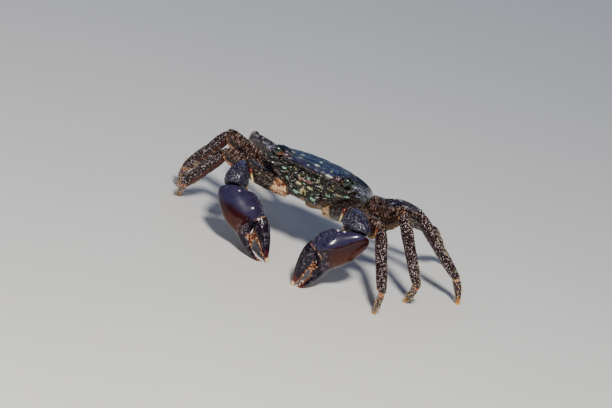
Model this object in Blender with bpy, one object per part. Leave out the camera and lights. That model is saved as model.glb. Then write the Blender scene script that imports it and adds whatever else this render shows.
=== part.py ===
"""A life-size lined shore crab, 37 mm across the shell, standing alert on a flat floor.

The crab faces -Y with its own left side towards +X, and +Z is up. Lengths in the tables are in
millimetres and turn into metres when a mesh is made. The head, shell and underside are shaped in a
body frame, level with the eyes, which is then tipped nose-up and raised to its standing height. The
limbs are strings of tapered tubes between joints, mitred where two of them meet.
"""

import math

import bmesh
import bpy
import mathutils
import numpy as np

MM = 0.001
GAP = 0.3  # clear space between neighbouring plates
WELD = 1e-4  # points this close to the floor count as on it
SIDES = (("left", "l"), ("right", "r"))

# Driving dimensions
SHELL_WIDTH = 37.0
SHELL_FRONT_Y = -16.2
SHELL_REAR_Y = 14.6
BODY_PITCH = 19.0  # degrees that the nose is held up
BODY_ROLL = 3.0  # degrees that the crab's left side is held low
BODY_HEIGHT = 29.7  # of the body frame's origin above the floor
EYE = (13.5, -14.6, 0.0)
EYE_RADII = (1.55, 1.45, 1.5)
CHELA_LENGTH = 27.8

# Mesh fineness
BODY_SIDES = 36
LIMB_SIDES = 10
CLAW_SIDES = 14
SMALL_SIDES = 8
BALL_ROWS = 8

# Colours, roughness and metallic value of each material
MATERIALS = {
    "shell": ((0.035, 0.045, 0.055), 0.25, 0.0),
    "underside": ((0.30, 0.22, 0.13), 0.5, 0.0),
    "mouth": ((0.10, 0.14, 0.09), 0.4, 0.0),
    "eye": ((0.02, 0.03, 0.02), 0.08, 0.0),
    "claw": ((0.09, 0.03, 0.07), 0.2, 0.0),
    "leg": ((0.07, 0.04, 0.04), 0.45, 0.0),
    "foot": ((0.25, 0.10, 0.03), 0.4, 0.0),
}

# Walking legs by pair: length of merus, carpus, propodus and dactyl, then the merus's half-width
LEG_SIZES = {
    2: (20.5, 9.0, 13.2, 9.8, 3.5),
    3: (24.0, 9.6, 14.0, 10.2, 4.1),
    4: (24.5, 10.0, 15.2, 10.4, 3.8),
    5: (21.5, 8.4, 12.0, 9.4, 3.7),
}
# Where each pair leaves the underside, and its hip, where the merus starts, in the body frame
LEG_ROOTS = {
    2: ((8.8, -3.4, -9.6), (14.4, -4.1, -9.7)),
    3: ((9.6, 1.0, -9.8), (16.0, 1.0, -9.6)),
    4: ((9.2, 5.6, -8.0), (15.8, 6.4, -7.0)),
    5: ((7.0, 8.8, -7.9), (14.6, 11.8, -4.9)),
}
# Stance: heading of the merus, heading and dip of the shank, then of the dactyl, in degrees.
# Headings run from straight out sideways towards the rear, and a dip over 90 tucks the foot back
# under the leg. The merus's own rise follows from the foot standing on the floor.
STANCE = {
    ("left", 2): (-32, -50, 41, -56, 113),
    ("left", 3): (-26, 4, 64, -38, 124),
    ("left", 4): (-18, 33, 48, 60, 70),
    ("left", 5): (17, 98, 32, 66, 56),
    ("right", 2): (3, 16, 49, 62, 44),
    ("right", 3): (11, 17, 49, 60, 64),
    ("right", 4): (34, 64, 42, 74, 53),
    ("right", 5): (48, 57, 34, 48, 64),
}

# Claw legs: lengths of merus and carpus, and the hip in the body frame; then for each side the
# heading and rise of the merus and of the carpus, the heading of the claw, and the roll of the
# claw's plane from upright, in degrees, and how far its middle bows towards the moving finger. The
# claw's dip follows from its tip on the floor.
CLAW_SIZES = (12.0, 8.6)
CLAW_HIP = (10.6, -9.0, -11.2)
CLAW_STANCE = {
    "left": (-34, 20, -34, -24, -147, 10, 1.8),
    "right": (-2, 8, -85, -31, -171, -44, 0.0),
}


# ---------------------------------------------------------------- mesh helpers


def scene_cleared():
    for old in list(bpy.data.objects):
        bpy.data.objects.remove(old)


def material(name):
    made = bpy.data.materials.get(name)
    if made is None:
        made = bpy.data.materials.new(name)
        made.use_nodes = True
        colour, roughness, metallic = MATERIALS[name]
        shader = made.node_tree.nodes["Principled BSDF"]
        shader.inputs["Base Color"].default_value = (*colour, 1.0)
        shader.inputs["Roughness"].default_value = roughness
        shader.inputs["Metallic"].default_value = metallic
    return made


def solid(name, points, faces, finish):
    """An object from points in millimetres and faces, with its normals facing out."""
    mesh = bpy.data.meshes.new(name)
    mesh.from_pydata([tuple(p * MM) for p in np.asarray(points, float)], [], faces)
    work = bmesh.new()
    work.from_mesh(mesh)
    bmesh.ops.recalc_face_normals(work, faces=work.faces)
    work.to_mesh(mesh)
    work.free()
    mesh.materials.append(material(finish))
    mesh.shade_smooth()
    made = bpy.data.objects.new(name, mesh)
    bpy.context.scene.collection.objects.link(made)
    return made


def loft(name, rings, finish):
    """A closed skin over rings of equally many points, each end closed by a fan."""
    rings = np.asarray(rings, float)
    count, sides = rings.shape[:2]
    points = np.vstack([rings.reshape(-1, 3), rings[0].mean(0), rings[-1].mean(0)])
    first_cap, last_cap = count * sides, count * sides + 1
    faces = []
    for k in range(count - 1):
        for i in range(sides):
            j = (i + 1) % sides
            faces.append((k * sides + i, k * sides + j, (k + 1) * sides + j, (k + 1) * sides + i))
    for i in range(sides):
        j = (i + 1) % sides
        faces.append((first_cap, j, i))
        faces.append((last_cap, (count - 1) * sides + i, (count - 1) * sides + j))
    return solid(name, points, faces, finish)


def cut_by(obj, cutter):
    """Takes the cutter's shape out of the object, for good."""
    modifier = obj.modifiers.new("cut", "BOOLEAN")
    modifier.operation = "DIFFERENCE"
    modifier.object = cutter
    bpy.context.view_layer.update()
    graph = bpy.context.evaluated_depsgraph_get()
    mesh = bpy.data.meshes.new_from_object(obj.evaluated_get(graph))
    obj.modifiers.clear()
    obj.data = mesh


def trim_at_floor(obj):
    """Cuts off what reaches below the floor and closes the cut with a flat."""
    work = bmesh.new()
    work.from_mesh(obj.data)
    cut = bmesh.ops.bisect_plane(
        work,
        geom=work.verts[:] + work.edges[:] + work.faces[:],
        dist=WELD * MM,
        plane_co=(0, 0, 0),
        plane_no=(0, 0, -1),
        clear_outer=True,
    )
    rim = [e for e in cut["geom_cut"] if isinstance(e, bmesh.types.BMEdge)]
    bmesh.ops.holes_fill(work, edges=rim)
    bmesh.ops.recalc_face_normals(work, faces=work.faces)
    work.to_mesh(obj.data)
    work.free()


# ---------------------------------------------------------------- directions


def unit(vector):
    vector = np.asarray(vector, float)
    return vector / np.linalg.norm(vector)


def heading_vector(side, heading, rise):
    """Unit vector that points out from the crab's side, turned back by heading and up by rise."""
    h, r = math.radians(heading), math.radians(rise)
    out = 1.0 if side == "left" else -1.0
    return np.array([out * math.cos(h) * math.cos(r), math.sin(h) * math.cos(r), math.sin(r)])


def turned(vector, axis, degrees):
    """The vector turned about a unit axis."""
    a = math.radians(degrees)
    return (
        vector * math.cos(a)
        + np.cross(axis, vector) * math.sin(a)
        + axis * (axis @ vector) * (1 - math.cos(a))
    )


def posed(point):
    """A point of the body frame, or an array of them, where the standing body holds it."""
    p, r = math.radians(BODY_PITCH), math.radians(BODY_ROLL)
    point = np.asarray(point, float)
    x = point[..., 0] * math.cos(r) + point[..., 2] * math.sin(r)
    y = point[..., 1]
    z = point[..., 2] * math.cos(r) - point[..., 0] * math.sin(r)
    return np.stack(
        [x, y * math.cos(p) + z * math.sin(p), z * math.cos(p) - y * math.sin(p) + BODY_HEIGHT],
        axis=-1,
    )


def mirrored(point, side):
    return np.asarray(point, float) * (1.0 if side == "left" else -1.0, 1.0, 1.0)


# ---------------------------------------------------------------- the body's skin

# Half the shell's outline from above, from the middle of the front round to the middle of the rear
OUTLINE = (
    (0.0, SHELL_FRONT_Y),
    (6.0, SHELL_FRONT_Y),
    (10.2, SHELL_FRONT_Y + 0.3),
    (13.6, -15.2),
    (16.6, -14.9),
    (17.6, -11.8),
    (SHELL_WIDTH / 2, -6.0),
    (18.1, -1.0),
    (16.9, 4.0),
    (14.8, 9.0),
    (11.6, 12.9),
    (8.0, SHELL_REAR_Y),
    (0.0, SHELL_REAR_Y),
)
BODY_CENTRE_Y = -1.0
SPLIT = 5  # the level where the shell ends and the underside starts
# Levels of the skin from the belly to the top of the shell: height at the front, side and rear, then
# the share of the outline's reach at the front, side and rear
LEVELS = (
    (-12.0, -11.8, -10.2, 0.30, 0.26, 0.34),
    (-12.0, -11.5, -9.9, 0.50, 0.42, 0.52),
    (-11.2, -10.6, -9.0, 0.62, 0.52, 0.68),
    (-9.0, -8.4, -7.6, 0.72, 0.64, 0.80),
    (-6.0, -6.2, -5.6, 0.82, 0.84, 0.92),
    (-2.6, -3.8, -3.6, 0.90, 0.965, 0.99),
    (-2.0, -2.3, -2.8, 0.97, 1.0, 1.0),
    (-1.3, -1.5, -2.2, 1.0, 0.99, 0.985),
    (-0.7, -0.5, -1.4, 0.955, 0.96, 0.95),
    (0.5, 0.8, 0.0, 0.84, 0.87, 0.86),
    (1.7, 2.0, 1.3, 0.66, 0.69, 0.68),
    (2.8, 2.9, 2.4, 0.38, 0.41, 0.40),
    (3.2, 3.2, 3.1, 0.12, 0.14, 0.12),
)
ORBIT_RAISE = 1.5  # how much the shell arches over each eye
ORBIT_BEARING = math.cos(math.radians(45))  # how far to the side of straight ahead the arch is
ORBIT_SPREAD = 0.10
CROWN_LEVELS = 3  # the top levels, which the arches don't reach
CUTTER_RISE = 2.0


def outline_points(sides):
    """The whole outline from above as equally spaced directions round the body's centre."""
    half = np.array(OUTLINE)
    whole = np.vstack([half, (half * (-1, 1))[-2:0:-1]])
    angles = np.unwrap(np.arctan2(whole[:, 1] - BODY_CENTRE_Y, whole[:, 0]))
    reach = np.hypot(whole[:, 0], whole[:, 1] - BODY_CENTRE_Y)
    wanted = angles[0] + np.arange(sides) * 2 * math.pi / sides
    closed_angles = np.append(angles, angles[0] + 2 * math.pi)
    closed_reach = np.append(reach, reach[0])
    radius = np.interp(wanted, closed_angles, closed_reach)
    return wanted, radius


def body_rings(levels, sides, grow=0.0):
    """Rings of the body's skin in the body frame. grow thickens the skin outwards."""
    angle, radius = outline_points(sides)
    along, across = np.sin(angle), np.abs(np.cos(angle))
    front, rear = np.clip(-along, 0, 1) ** 2, np.clip(along, 0, 1) ** 2
    side = 1 - front - rear
    over_eye = np.exp(-(((across - ORBIT_BEARING) / ORBIT_SPREAD) ** 2)) * (along < 0)
    rings = []
    for number, (zf, zs, zr, sf, ss, sr) in levels:
        height = zf * front + zs * side + zr * rear
        share = sf * front + ss * side + sr * rear
        if SPLIT < number < len(LEVELS) - CROWN_LEVELS:
            height = height + over_eye * ORBIT_RAISE
        reach = radius * share + grow
        if number == 0:
            height = height - grow
        x, y = reach * np.cos(angle), BODY_CENTRE_Y + reach * np.sin(angle)
        rings.append(np.stack([x, y, height], axis=-1))
    return rings


def carapace():
    upper = [(k, row) for k, row in enumerate(LEVELS) if k >= SPLIT]
    made = loft("carapace", posed(body_rings(upper, BODY_SIDES)), "shell")
    for side, _ in SIDES:
        socket = ellipsoid("orbit_cutter", mirrored(ORBIT, side), ORBIT_REACH, "shell")
        cut_by(made, socket)
        bpy.data.objects.remove(socket)
    return made


def underside_rings():
    lower = [(k, row) for k, row in enumerate(LEVELS) if k <= SPLIT]
    rings = body_rings(lower, BODY_SIDES)
    rings[-1][:, 2] -= GAP
    return posed(rings)


def underside_clearance():
    """The underside's rings, a gap wider all round, and carried on up into the shell."""
    lower = [(k, row) for k, row in enumerate(LEVELS) if k <= SPLIT]
    rings = body_rings(lower, BODY_SIDES, GAP)
    rings.append(rings[-1] + (0.0, 0.0, CUTTER_RISE))
    return posed(rings)


# ---------------------------------------------------------------- head and mouth

ORBIT = (13.4, -16.0, -0.3)
ORBIT_REACH = (3.4, 3.5, 2.2)
MAXILLIPED = (3.3, -12.1, -8.9)
MAXILLIPED_HALF = (2.9, 1.3, 3.2)
MAXILLIPED_LEAN = 31.0  # degrees that the mouth slopes back below
MAXILLIPED_POWER = 0.6  # under 1 makes the plates squarer than a ball
STALK = ((11.0, -15.1, -0.2), (11.65, -15.0, -0.1))
STALK_RADIUS = 0.9
# Antenna: base and tip, and its thickness there
ANTENNA = ((9.3, -16.3, -3.6), (14.2, -18.6, -4.6))
ANTENNA_RADII = (0.55, 0.26)


def squared(share, power):
    """A sine or cosine whose curve is pushed out towards a square as power drops below 1."""
    return np.sign(share) * np.abs(share) ** power


def ellipsoid(name, centre, reach, finish, lean=0.0, power=1.0):
    """A ball drawn out along the body frame's axes, leant about X, and posed."""
    tilt = math.radians(lean)
    around = np.arange(2 * BALL_ROWS) * math.pi / BALL_ROWS
    rings = []
    for k in range(1, BALL_ROWS):
        latitude = math.pi * (k / BALL_ROWS - 0.5)
        ring = squared(math.cos(latitude), power)
        x = reach[0] * ring * squared(np.cos(around), power)
        y = reach[1] * ring * squared(np.sin(around), power)
        z = np.full_like(x, reach[2] * squared(math.sin(latitude), power))
        leant_y = y * math.cos(tilt) - z * math.sin(tilt)
        leant_z = y * math.sin(tilt) + z * math.cos(tilt)
        rings.append(np.stack([x, leant_y, leant_z], axis=-1) + np.asarray(centre, float))
    return loft(name, posed(rings), finish)


def rod(name, start, end, radii, finish):
    """A straight tapered rod between two points of the body frame."""
    start, end = np.asarray(start, float), np.asarray(end, float)
    across = unit(np.cross(end - start, (0, 0, 1)))
    over = unit(np.cross(across, end - start))
    turn = np.arange(SMALL_SIDES) * 2 * math.pi / SMALL_SIDES
    circle = np.outer(np.cos(turn), across) + np.outer(np.sin(turn), over)
    return loft(name, posed([start + circle * radii[0], end + circle * radii[1]]), finish)


def eyes():
    for side, mark in SIDES:
        ellipsoid("eye_" + mark, mirrored(EYE, side), EYE_RADII, "eye")
        ends = [mirrored(point, side) for point in STALK]
        rod("eyestalk_" + mark, *ends, (STALK_RADIUS, STALK_RADIUS), "mouth")
        ends = [mirrored(point, side) for point in ANTENNA]
        rod("antenna_" + mark, *ends, ANTENNA_RADII, "mouth")


def mouth():
    for side, mark in SIDES:
        plate = ellipsoid(
            "maxilliped_" + mark,
            mirrored(MAXILLIPED, side),
            MAXILLIPED_HALF,
            "mouth",
            lean=MAXILLIPED_LEAN,
            power=MAXILLIPED_POWER,
        )
        clear_of_underside(plate)


# ---------------------------------------------------------------- the underside

# The abdomen, folded forward under the body: place along it, height, half-width and half-thickness
ABDOMEN = (
    (14.6, -7.6, 5.2, 1.4),
    (11.0, -9.7, 5.2, 1.5),
    (6.0, -11.2, 4.2, 1.4),
    (1.0, -12.0, 3.0, 1.2),
    (-2.6, -12.4, 1.9, 1.0),
    (-4.2, -12.6, 0.9, 0.8),
)


def clear_of_underside(obj):
    """Cuts away all of the object that lies within a gap of the underside."""
    cutter = loft("underside_cutter", underside_clearance(), "underside")
    cut_by(obj, cutter)
    bpy.data.objects.remove(cutter)


def abdomen():
    turn = np.arange(CLAW_SIDES) * 2 * math.pi / CLAW_SIDES
    rings = []
    for y, z, half_width, half_thick in ABDOMEN:
        x, rise = half_width * np.cos(turn), half_thick * np.sin(turn)
        rings.append(np.stack([x, np.full_like(x, y), z + rise], axis=-1))
    clear_of_underside(loft("abdomen", posed(rings), "underside"))


# ---------------------------------------------------------------- limbs

# Segments of a walking leg: share along the segment, half-width and half-thickness in mm, and how
# far the middle bows towards the back of the leg. The merus's half-widths are shares of its own.
BASE_PROFILE = ((0.0, 1.9, 1.9, 0.0), (0.5, 2.2, 2.1, 0.0), (1.0, 1.75, 1.7, 0.0))
MERUS_PROFILE = (
    (0.0, 0.5, 1.2, 0.0),
    (0.1, 0.74, 1.4, 0.0),
    (0.32, 0.97, 1.6, -0.1),
    (0.6, 1.0, 1.7, -0.2),
    (0.84, 0.88, 1.7, -0.1),
    (1.0, 0.64, 1.5, 0.0),
)
CARPUS_PROFILE = (
    (0.0, 1.7, 1.4, 0.0),
    (0.3, 2.1, 1.65, 0.1),
    (0.7, 2.2, 1.7, 0.1),
    (1.0, 1.9, 1.5, 0.0),
)
PROPODUS_PROFILE = (
    (0.0, 1.9, 1.5, 0.0),
    (0.3, 2.1, 1.5, 0.05),
    (0.7, 1.95, 1.4, 0.05),
    (1.0, 1.5, 1.15, 0.0),
)
DACTYL_PROFILE = (
    (0.0, 1.3, 1.05, 0.0),
    (0.25, 1.3, 1.05, 0.35),
    (0.55, 1.05, 0.85, 0.5),
    (0.82, 0.68, 0.6, 0.3),
    (1.0, 0.42, 0.42, 0.0),
)
TIP_OVERRUN = 0.7  # how far a tip runs past the floor before it is cut level

CLAW_MERUS_PROFILE = (
    (0.0, 2.1, 1.8, 0.0),
    (0.3, 2.6, 2.1, 0.0),
    (0.65, 3.1, 2.5, 0.2),
    (0.88, 3.0, 2.5, 0.2),
    (1.0, 2.4, 2.1, 0.0),
)
CLAW_CARPUS_PROFILE = (
    (0.0, 2.3, 2.1, 0.0),
    (0.2, 3.6, 3.3, 0.2),
    (0.5, 4.2, 4.0, 0.4),
    (0.8, 3.7, 3.5, 0.2),
    (1.0, 2.5, 2.3, 0.0),
)
CLAW_BASE = 4.0  # length of the claw leg's short base inside the body, ahead of the merus
WRIST_SHARE = 0.2  # the share of the claw's length over which its wrist's mitre dies away

# Palm with its fixed finger: share of the claw's length, the edge away from the moving finger, the
# edge towards it, and the half-thickness
PALM_PROFILE = (
    (0.0, -2.4, 2.3, 2.1),
    (0.05, -4.7, 3.4, 3.0),
    (0.15, -6.4, 5.2, 3.9),
    (0.27, -6.9, 6.2, 4.3),
    (0.40, -6.5, 6.5, 4.3),
    (0.475, -5.7, 5.6, 3.9),
    (0.53, -5.2, 2.4, 3.4),
    (0.58, -5.0, -1.0, 2.5),
    (0.70, -4.8, -1.6, 2.0),
    (0.83, -4.0, -1.7, 1.5),
    (0.93, -2.9, -1.2, 1.0),
    (1.0, -1.6, -0.4, 0.6),
)
FINGER_PROFILE = (
    (0.42, 2.6, 5.4, 2.2),
    (0.50, 2.4, 6.4, 2.8),
    (0.57, 1.7, 6.4, 2.8),
    (0.66, 0.6, 5.8, 2.5),
    (0.77, 0.0, 4.7, 2.1),
    (0.88, -0.2, 3.2, 1.5),
    (0.96, 0.0, 1.9, 1.0),
    (1.03, 0.2, 1.2, 0.6),
)


def limb_rings(start, end, profile, broad, before=None, after=None, sides=LIMB_SIDES):
    """Rings of a segment whose ends are mitred to the directions before and after it."""
    length = np.linalg.norm(end - start)
    along = unit(end - start)
    wide = unit(broad - (broad @ along) * along)
    thick = np.cross(along, wide)
    near = unit(along + (along if before is None else before))
    far = unit(along + (along if after is None else after))
    turn = np.arange(sides) * 2 * math.pi / sides
    rings = []
    for share, half_wide, half_thick, bow in profile:
        offset = np.outer(half_wide * np.cos(turn) + bow, wide)
        offset += np.outer(half_thick * np.sin(turn), thick)
        first = (GAP / 2 - offset @ near) / (along @ near)
        last = length - (GAP / 2 + offset @ far) / (along @ far)
        rings.append(start + offset + np.outer(first + (last - first) * share, along))
    return rings


def leg_joints(side, pair):
    """Root, hip, knee, carpus's end, ankle and tip of a leg that stands on the floor."""
    merus, carpus, propodus, dactyl, _ = LEG_SIZES[pair]
    merus_heading, shank_heading, shank_dip, dactyl_heading, dactyl_dip = STANCE[side, pair]
    root, hip = (posed(mirrored(point, side)) for point in LEG_ROOTS[pair])
    shank = heading_vector(side, shank_heading, -shank_dip)
    foot = heading_vector(side, dactyl_heading, -dactyl_dip)
    drop = -(carpus + propodus) * shank[2] - dactyl * foot[2]
    rise = math.degrees(math.asin((drop - hip[2]) / merus))
    knee = hip + merus * heading_vector(side, merus_heading, rise)
    ankle = knee + (carpus + propodus) * shank
    return root, hip, knee, knee + carpus * shank, ankle, ankle + dactyl * foot


def walking_leg(side, mark, pair):
    joints = leg_joints(side, pair)
    ways = [unit(b - a) for a, b in zip(joints, joints[1:])]
    half_width = LEG_SIZES[pair][4]
    knee_back, ankle_back = ways[1] - ways[2], ways[3] - ways[4]
    merus = [(s, w * half_width, t, b) for s, w, t, b in MERUS_PROFILE]
    rows = (
        ("base", BASE_PROFILE, knee_back, None, ways[1]),
        ("merus", merus, knee_back, ways[0], ways[2]),
        ("carpus", CARPUS_PROFILE, knee_back, ways[1], None),
        ("propodus", PROPODUS_PROFILE, knee_back, None, ways[4]),
        ("dactyl", DACTYL_PROFILE, ankle_back, ways[3], None),
    )
    for k, (part, profile, broad, before, after) in enumerate(rows):
        end = joints[k + 1]
        if part == "dactyl":
            end = end + ways[4] * TIP_OVERRUN
        sides = SMALL_SIDES if part in ("base", "dactyl") else LIMB_SIDES
        rings = limb_rings(joints[k], end, profile, broad, before, after, sides)
        finish = "foot" if part == "dactyl" else "leg"
        made = loft("_".join(("leg", mark + str(pair), part)), rings, finish)
        if part == "base":
            clear_of_underside(made)
        if part == "dactyl":
            trim_at_floor(made)


def claw_joints(side):
    """Root, elbow, wrist and tip of a claw leg whose tip stands on the floor."""
    merus, carpus = CLAW_SIZES
    merus_heading, merus_rise, carpus_heading, carpus_rise, claw_heading = CLAW_STANCE[side][:5]
    hip = posed(mirrored(CLAW_HIP, side))
    way = heading_vector(side, merus_heading, merus_rise)
    elbow = hip + merus * way
    wrist = elbow + carpus * heading_vector(side, carpus_heading, carpus_rise)
    dip = math.degrees(math.asin(wrist[2] / CHELA_LENGTH))
    tip = wrist + CHELA_LENGTH * heading_vector(side, claw_heading, -dip)
    return hip - CLAW_BASE * way, elbow, wrist, tip


def claw_part(wrist, tip, profile, across, bow, before=None, grow=0.0):
    """Rings of the palm or finger, in the plane of the claw's length and its width, across."""
    along = unit(tip - wrist)
    thick = np.cross(along, across)
    near = along if before is None else unit(along + before)
    turn = np.arange(CLAW_SIDES) * 2 * math.pi / CLAW_SIDES
    rings = []
    for share, low, high, half_thick in profile:
        half = (high - low) / 2 + grow
        middle = (low + high) / 2 + bow * math.sin(math.pi * min(share, 1.0))
        offset = np.outer(middle + half * np.cos(turn), across)
        offset += np.outer((half_thick + grow) * np.sin(turn), thick)
        mitre = (GAP / 2 - offset @ near) / (along @ near) * max(0.0, 1.0 - share / WRIST_SHARE)
        rings.append(wrist + offset + np.outer(mitre + CHELA_LENGTH * share, along))
    return rings


def claw_leg(side, mark):
    root, elbow, wrist, tip = claw_joints(side)
    ways = [unit(elbow - root), unit(wrist - elbow), unit(tip - wrist)]
    wrist_back = ways[1] - ways[2]
    name = "claw_" + mark + "_"
    upright = np.array((0.0, 0.0, 1.0))
    rings = limb_rings(root, elbow, CLAW_MERUS_PROFILE, upright, None, ways[1])
    clear_of_underside(loft(name + "merus", rings, "claw"))
    rings = limb_rings(
        elbow, wrist, CLAW_CARPUS_PROFILE, wrist_back, ways[0], ways[2], sides=CLAW_SIDES
    )
    loft(name + "carpus", rings, "claw")
    level = unit(np.cross((0, 0, 1), ways[2]))
    upper = np.cross(ways[2], level)
    roll, bow = CLAW_STANCE[side][5:]
    across = turned(upper, ways[2], roll)
    rings = claw_part(wrist, tip, PALM_PROFILE, across, bow, ways[1])
    palm = loft(name + "palm", rings, "claw")
    finger = loft(name + "finger", claw_part(wrist, tip, FINGER_PROFILE, across, bow), "claw")
    rings = claw_part(wrist, tip, PALM_PROFILE, across, bow, ways[1], GAP)
    cutter = loft("palm_cutter", rings, "claw")
    cut_by(finger, cutter)
    bpy.data.objects.remove(cutter)
    trim_at_floor(palm)
    trim_at_floor(finger)


# ---------------------------------------------------------------- the whole crab


def centred_on_origin():
    """Moves every mesh so that the whole box stands on the origin, centred."""
    corners = np.array([v.co for obj in bpy.data.objects for v in obj.data.vertices])
    low, high = corners.min(0), corners.max(0)
    shift = mathutils.Matrix.Translation((-(low[0] + high[0]) / 2, -(low[1] + high[1]) / 2, 0))
    for obj in bpy.data.objects:
        obj.data.transform(shift)


def main():
    scene_cleared()
    carapace()
    loft("underside", underside_rings(), "underside")
    abdomen()
    eyes()
    mouth()
    for side, mark in SIDES:
        claw_leg(side, mark)
        for pair in LEG_SIZES:
            walking_leg(side, mark, pair)
    centred_on_origin()


if __name__ == "__main__":
    main()
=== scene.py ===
"""The looks of a lined shore crab: plates, limbs, claws, eyes and bristles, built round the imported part.

Lengths are in millimetres until a mesh is made. The stance, the limbs' joints and the body's levels are
the part's own, and the part's place on the floor is read from the frame.
"""

import itertools
from math import asin, cos, degrees, pi, radians, sin

import bpy
import numpy as np
from mathutils import Matrix, Vector


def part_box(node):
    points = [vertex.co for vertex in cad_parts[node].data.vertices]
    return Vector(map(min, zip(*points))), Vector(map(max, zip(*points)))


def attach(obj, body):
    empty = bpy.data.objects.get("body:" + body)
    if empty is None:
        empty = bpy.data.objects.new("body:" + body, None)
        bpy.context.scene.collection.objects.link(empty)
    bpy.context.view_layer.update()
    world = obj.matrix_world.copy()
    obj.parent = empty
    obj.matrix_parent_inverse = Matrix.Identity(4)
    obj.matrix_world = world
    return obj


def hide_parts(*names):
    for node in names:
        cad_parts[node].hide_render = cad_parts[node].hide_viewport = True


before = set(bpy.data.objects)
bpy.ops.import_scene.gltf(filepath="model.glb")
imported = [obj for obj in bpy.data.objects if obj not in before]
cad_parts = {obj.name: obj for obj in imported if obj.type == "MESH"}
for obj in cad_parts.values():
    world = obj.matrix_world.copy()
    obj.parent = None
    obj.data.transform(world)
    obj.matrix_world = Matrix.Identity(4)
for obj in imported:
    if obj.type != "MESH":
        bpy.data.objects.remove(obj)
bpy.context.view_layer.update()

MM = 0.001
GAP = 0.3
SIDES = (("left", "l"), ("right", "r"))
OUT = {"left": 1, "right": -1}  # which way along x is outwards
LEG_PARTS = ("base", "merus", "carpus", "propodus", "dactyl")
BODY_SIDES = 480  # points round the body's skin
TUFT_PATCH = 0.003  # how much of the unwrap one bristle or spine takes up
SPIKE_TAPER = 0.85
ALMOST_UP = (0.01, 0.01, 1.01)  # a direction that no spike points in
SPIKE_CLEARANCE = 0.02  # how far the spikes keep off the floor

# ---- the part's own sizes and stance

BODY_PITCH, BODY_ROLL = 19, 3
EYE = (13.5, -14.6, 0)
EYE_RADII = (1.55, 1.45, 1.5)
CHELA_LENGTH = 27.8
# Lengths of a leg's merus, carpus, propodus and dactyl, and the merus's half-width
LEG_SIZES = {
    2: (20.5, 9, 13.2, 9.8, 3.5),
    3: (24, 9.6, 14, 10.2, 4.1),
    4: (24.5, 10, 15.2, 10.4, 3.8),
    5: (21.5, 8.4, 12, 9.4, 3.7),
}
# Where a leg's base starts and ends in the body frame, on the left side
LEG_ROOTS = {
    2: ((8.8, -3.4, -9.6), (14.4, -4.1, -9.7)),
    3: ((9.6, 1, -9.8), (16, 1, -9.6)),
    4: ((9.2, 5.6, -8), (15.8, 6.4, -7)),
    5: ((7, 8.8, -7.9), (14.6, 11.8, -4.9)),
}
# Degrees: a leg's merus heading, then heading and dip of its shank and of its dactyl
STANCE = {
    ("left", 2): (-32, -50, 41, -56, 113),
    ("left", 3): (-26, 4, 64, -38, 124),
    ("left", 4): (-18, 33, 48, 60, 70),
    ("left", 5): (17, 98, 32, 66, 56),
    ("right", 2): (3, 16, 49, 62, 44),
    ("right", 3): (11, 17, 49, 60, 64),
    ("right", 4): (34, 64, 42, 74, 53),
    ("right", 5): (48, 57, 34, 48, 64),
}
CLAW_SIZES = (12, 8.6)
CLAW_HIP = (10.6, -9, -11.2)
CLAW_BASE = 4  # how far the merus reaches back into the body
# Degrees: heading and rise of a claw's merus and of its carpus, heading and roll of its palm. Then the
# bow of its palm and finger
CLAW_STANCE = {
    "left": (-34, 20, -34, -24, -147, 10, 1.8),
    "right": (-2, 8, -85, -31, -171, -44, 0),
}
# Half of the body's outline from the front to the rear, seen from above
OUTLINE = (
    (0, -16.2), (6, -16.2), (10.2, -15.9), (13.6, -15.2),
    (16.6, -14.9), (17.6, -11.8), (18.5, -6), (18.1, -1),
    (16.9, 4), (14.8, 9), (11.6, 12.9), (8, 14.6),
    (0, 14.6),
)
BODY_CENTRE_Y = -1
# Levels from the belly up: height at the front, side and rear, and the shares of the outline there
LEVELS = (
    (-12, -11.8, -10.2, 0.30, 0.26, 0.34), (-12, -11.5, -9.9, 0.50, 0.42, 0.52),
    (-11.2, -10.6, -9, 0.62, 0.52, 0.68), (-9, -8.4, -7.6, 0.72, 0.64, 0.80),
    (-6, -6.2, -5.6, 0.82, 0.84, 0.92), (-2.6, -3.8, -3.6, 0.90, 0.965, 0.99),
    (-2, -2.3, -2.8, 0.97, 1, 1), (-1.3, -1.5, -2.2, 1, 0.99, 0.985),
    (-0.7, -0.5, -1.4, 0.955, 0.96, 0.95), (0.5, 0.8, 0, 0.84, 0.87, 0.86),
    (1.7, 2, 1.3, 0.66, 0.69, 0.68), (2.8, 2.9, 2.4, 0.38, 0.41, 0.40),
    (3.2, 3.2, 3.1, 0.12, 0.14, 0.12),
)
SPLIT = 5  # the number of the level where the shell meets the underside
ORBIT_RAISE = 1.5  # how far the shell's edge rises over an eye socket
ORBIT = (13.4, -16, -0.3)
ORBIT_REACH = (3.4, 3.5, 2.2)
MAXILLIPED = (3.3, -12.1, -8.9)
MAXILLIPED_HALF = (2.9, 1.3, 3.2)
MAXILLIPED_LEAN = 31
STALK = ((11, -15.1, -0.2), (11.65, -15, -0.1))
STALK_RADII = (1.05, 1)
STALK_ROOT = 2.4  # how far the stalk reaches into the face
CUP_SHIFT = (-0.35, 0.3, -0.65)
CUP_RADII = (1.6, 1.3, 1.05)
ANTENNULE = (2.4, -14.4, -3.6)
ANTENNA_FOOT = (6.6, -14.6, -3.7)
ANTENNA = ((9.3, -16.3, -3.6), (14.2, -18.6, -4.6))
ANTENNA_RADII = (0.55, 0.26)
# The abdomen from its rear: place along the body, height, half-width and half-thickness
ABDOMEN = (
    (14.6, -7.6, 5.2, 1.4), (11, -9.7, 5.2, 1.5), (6, -11.2, 4.2, 1.4), (1, -12, 3, 1.2),
    (-2.6, -12.4, 1.9, 1), (-4.2, -12.6, 0.9, 0.8),
)
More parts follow.
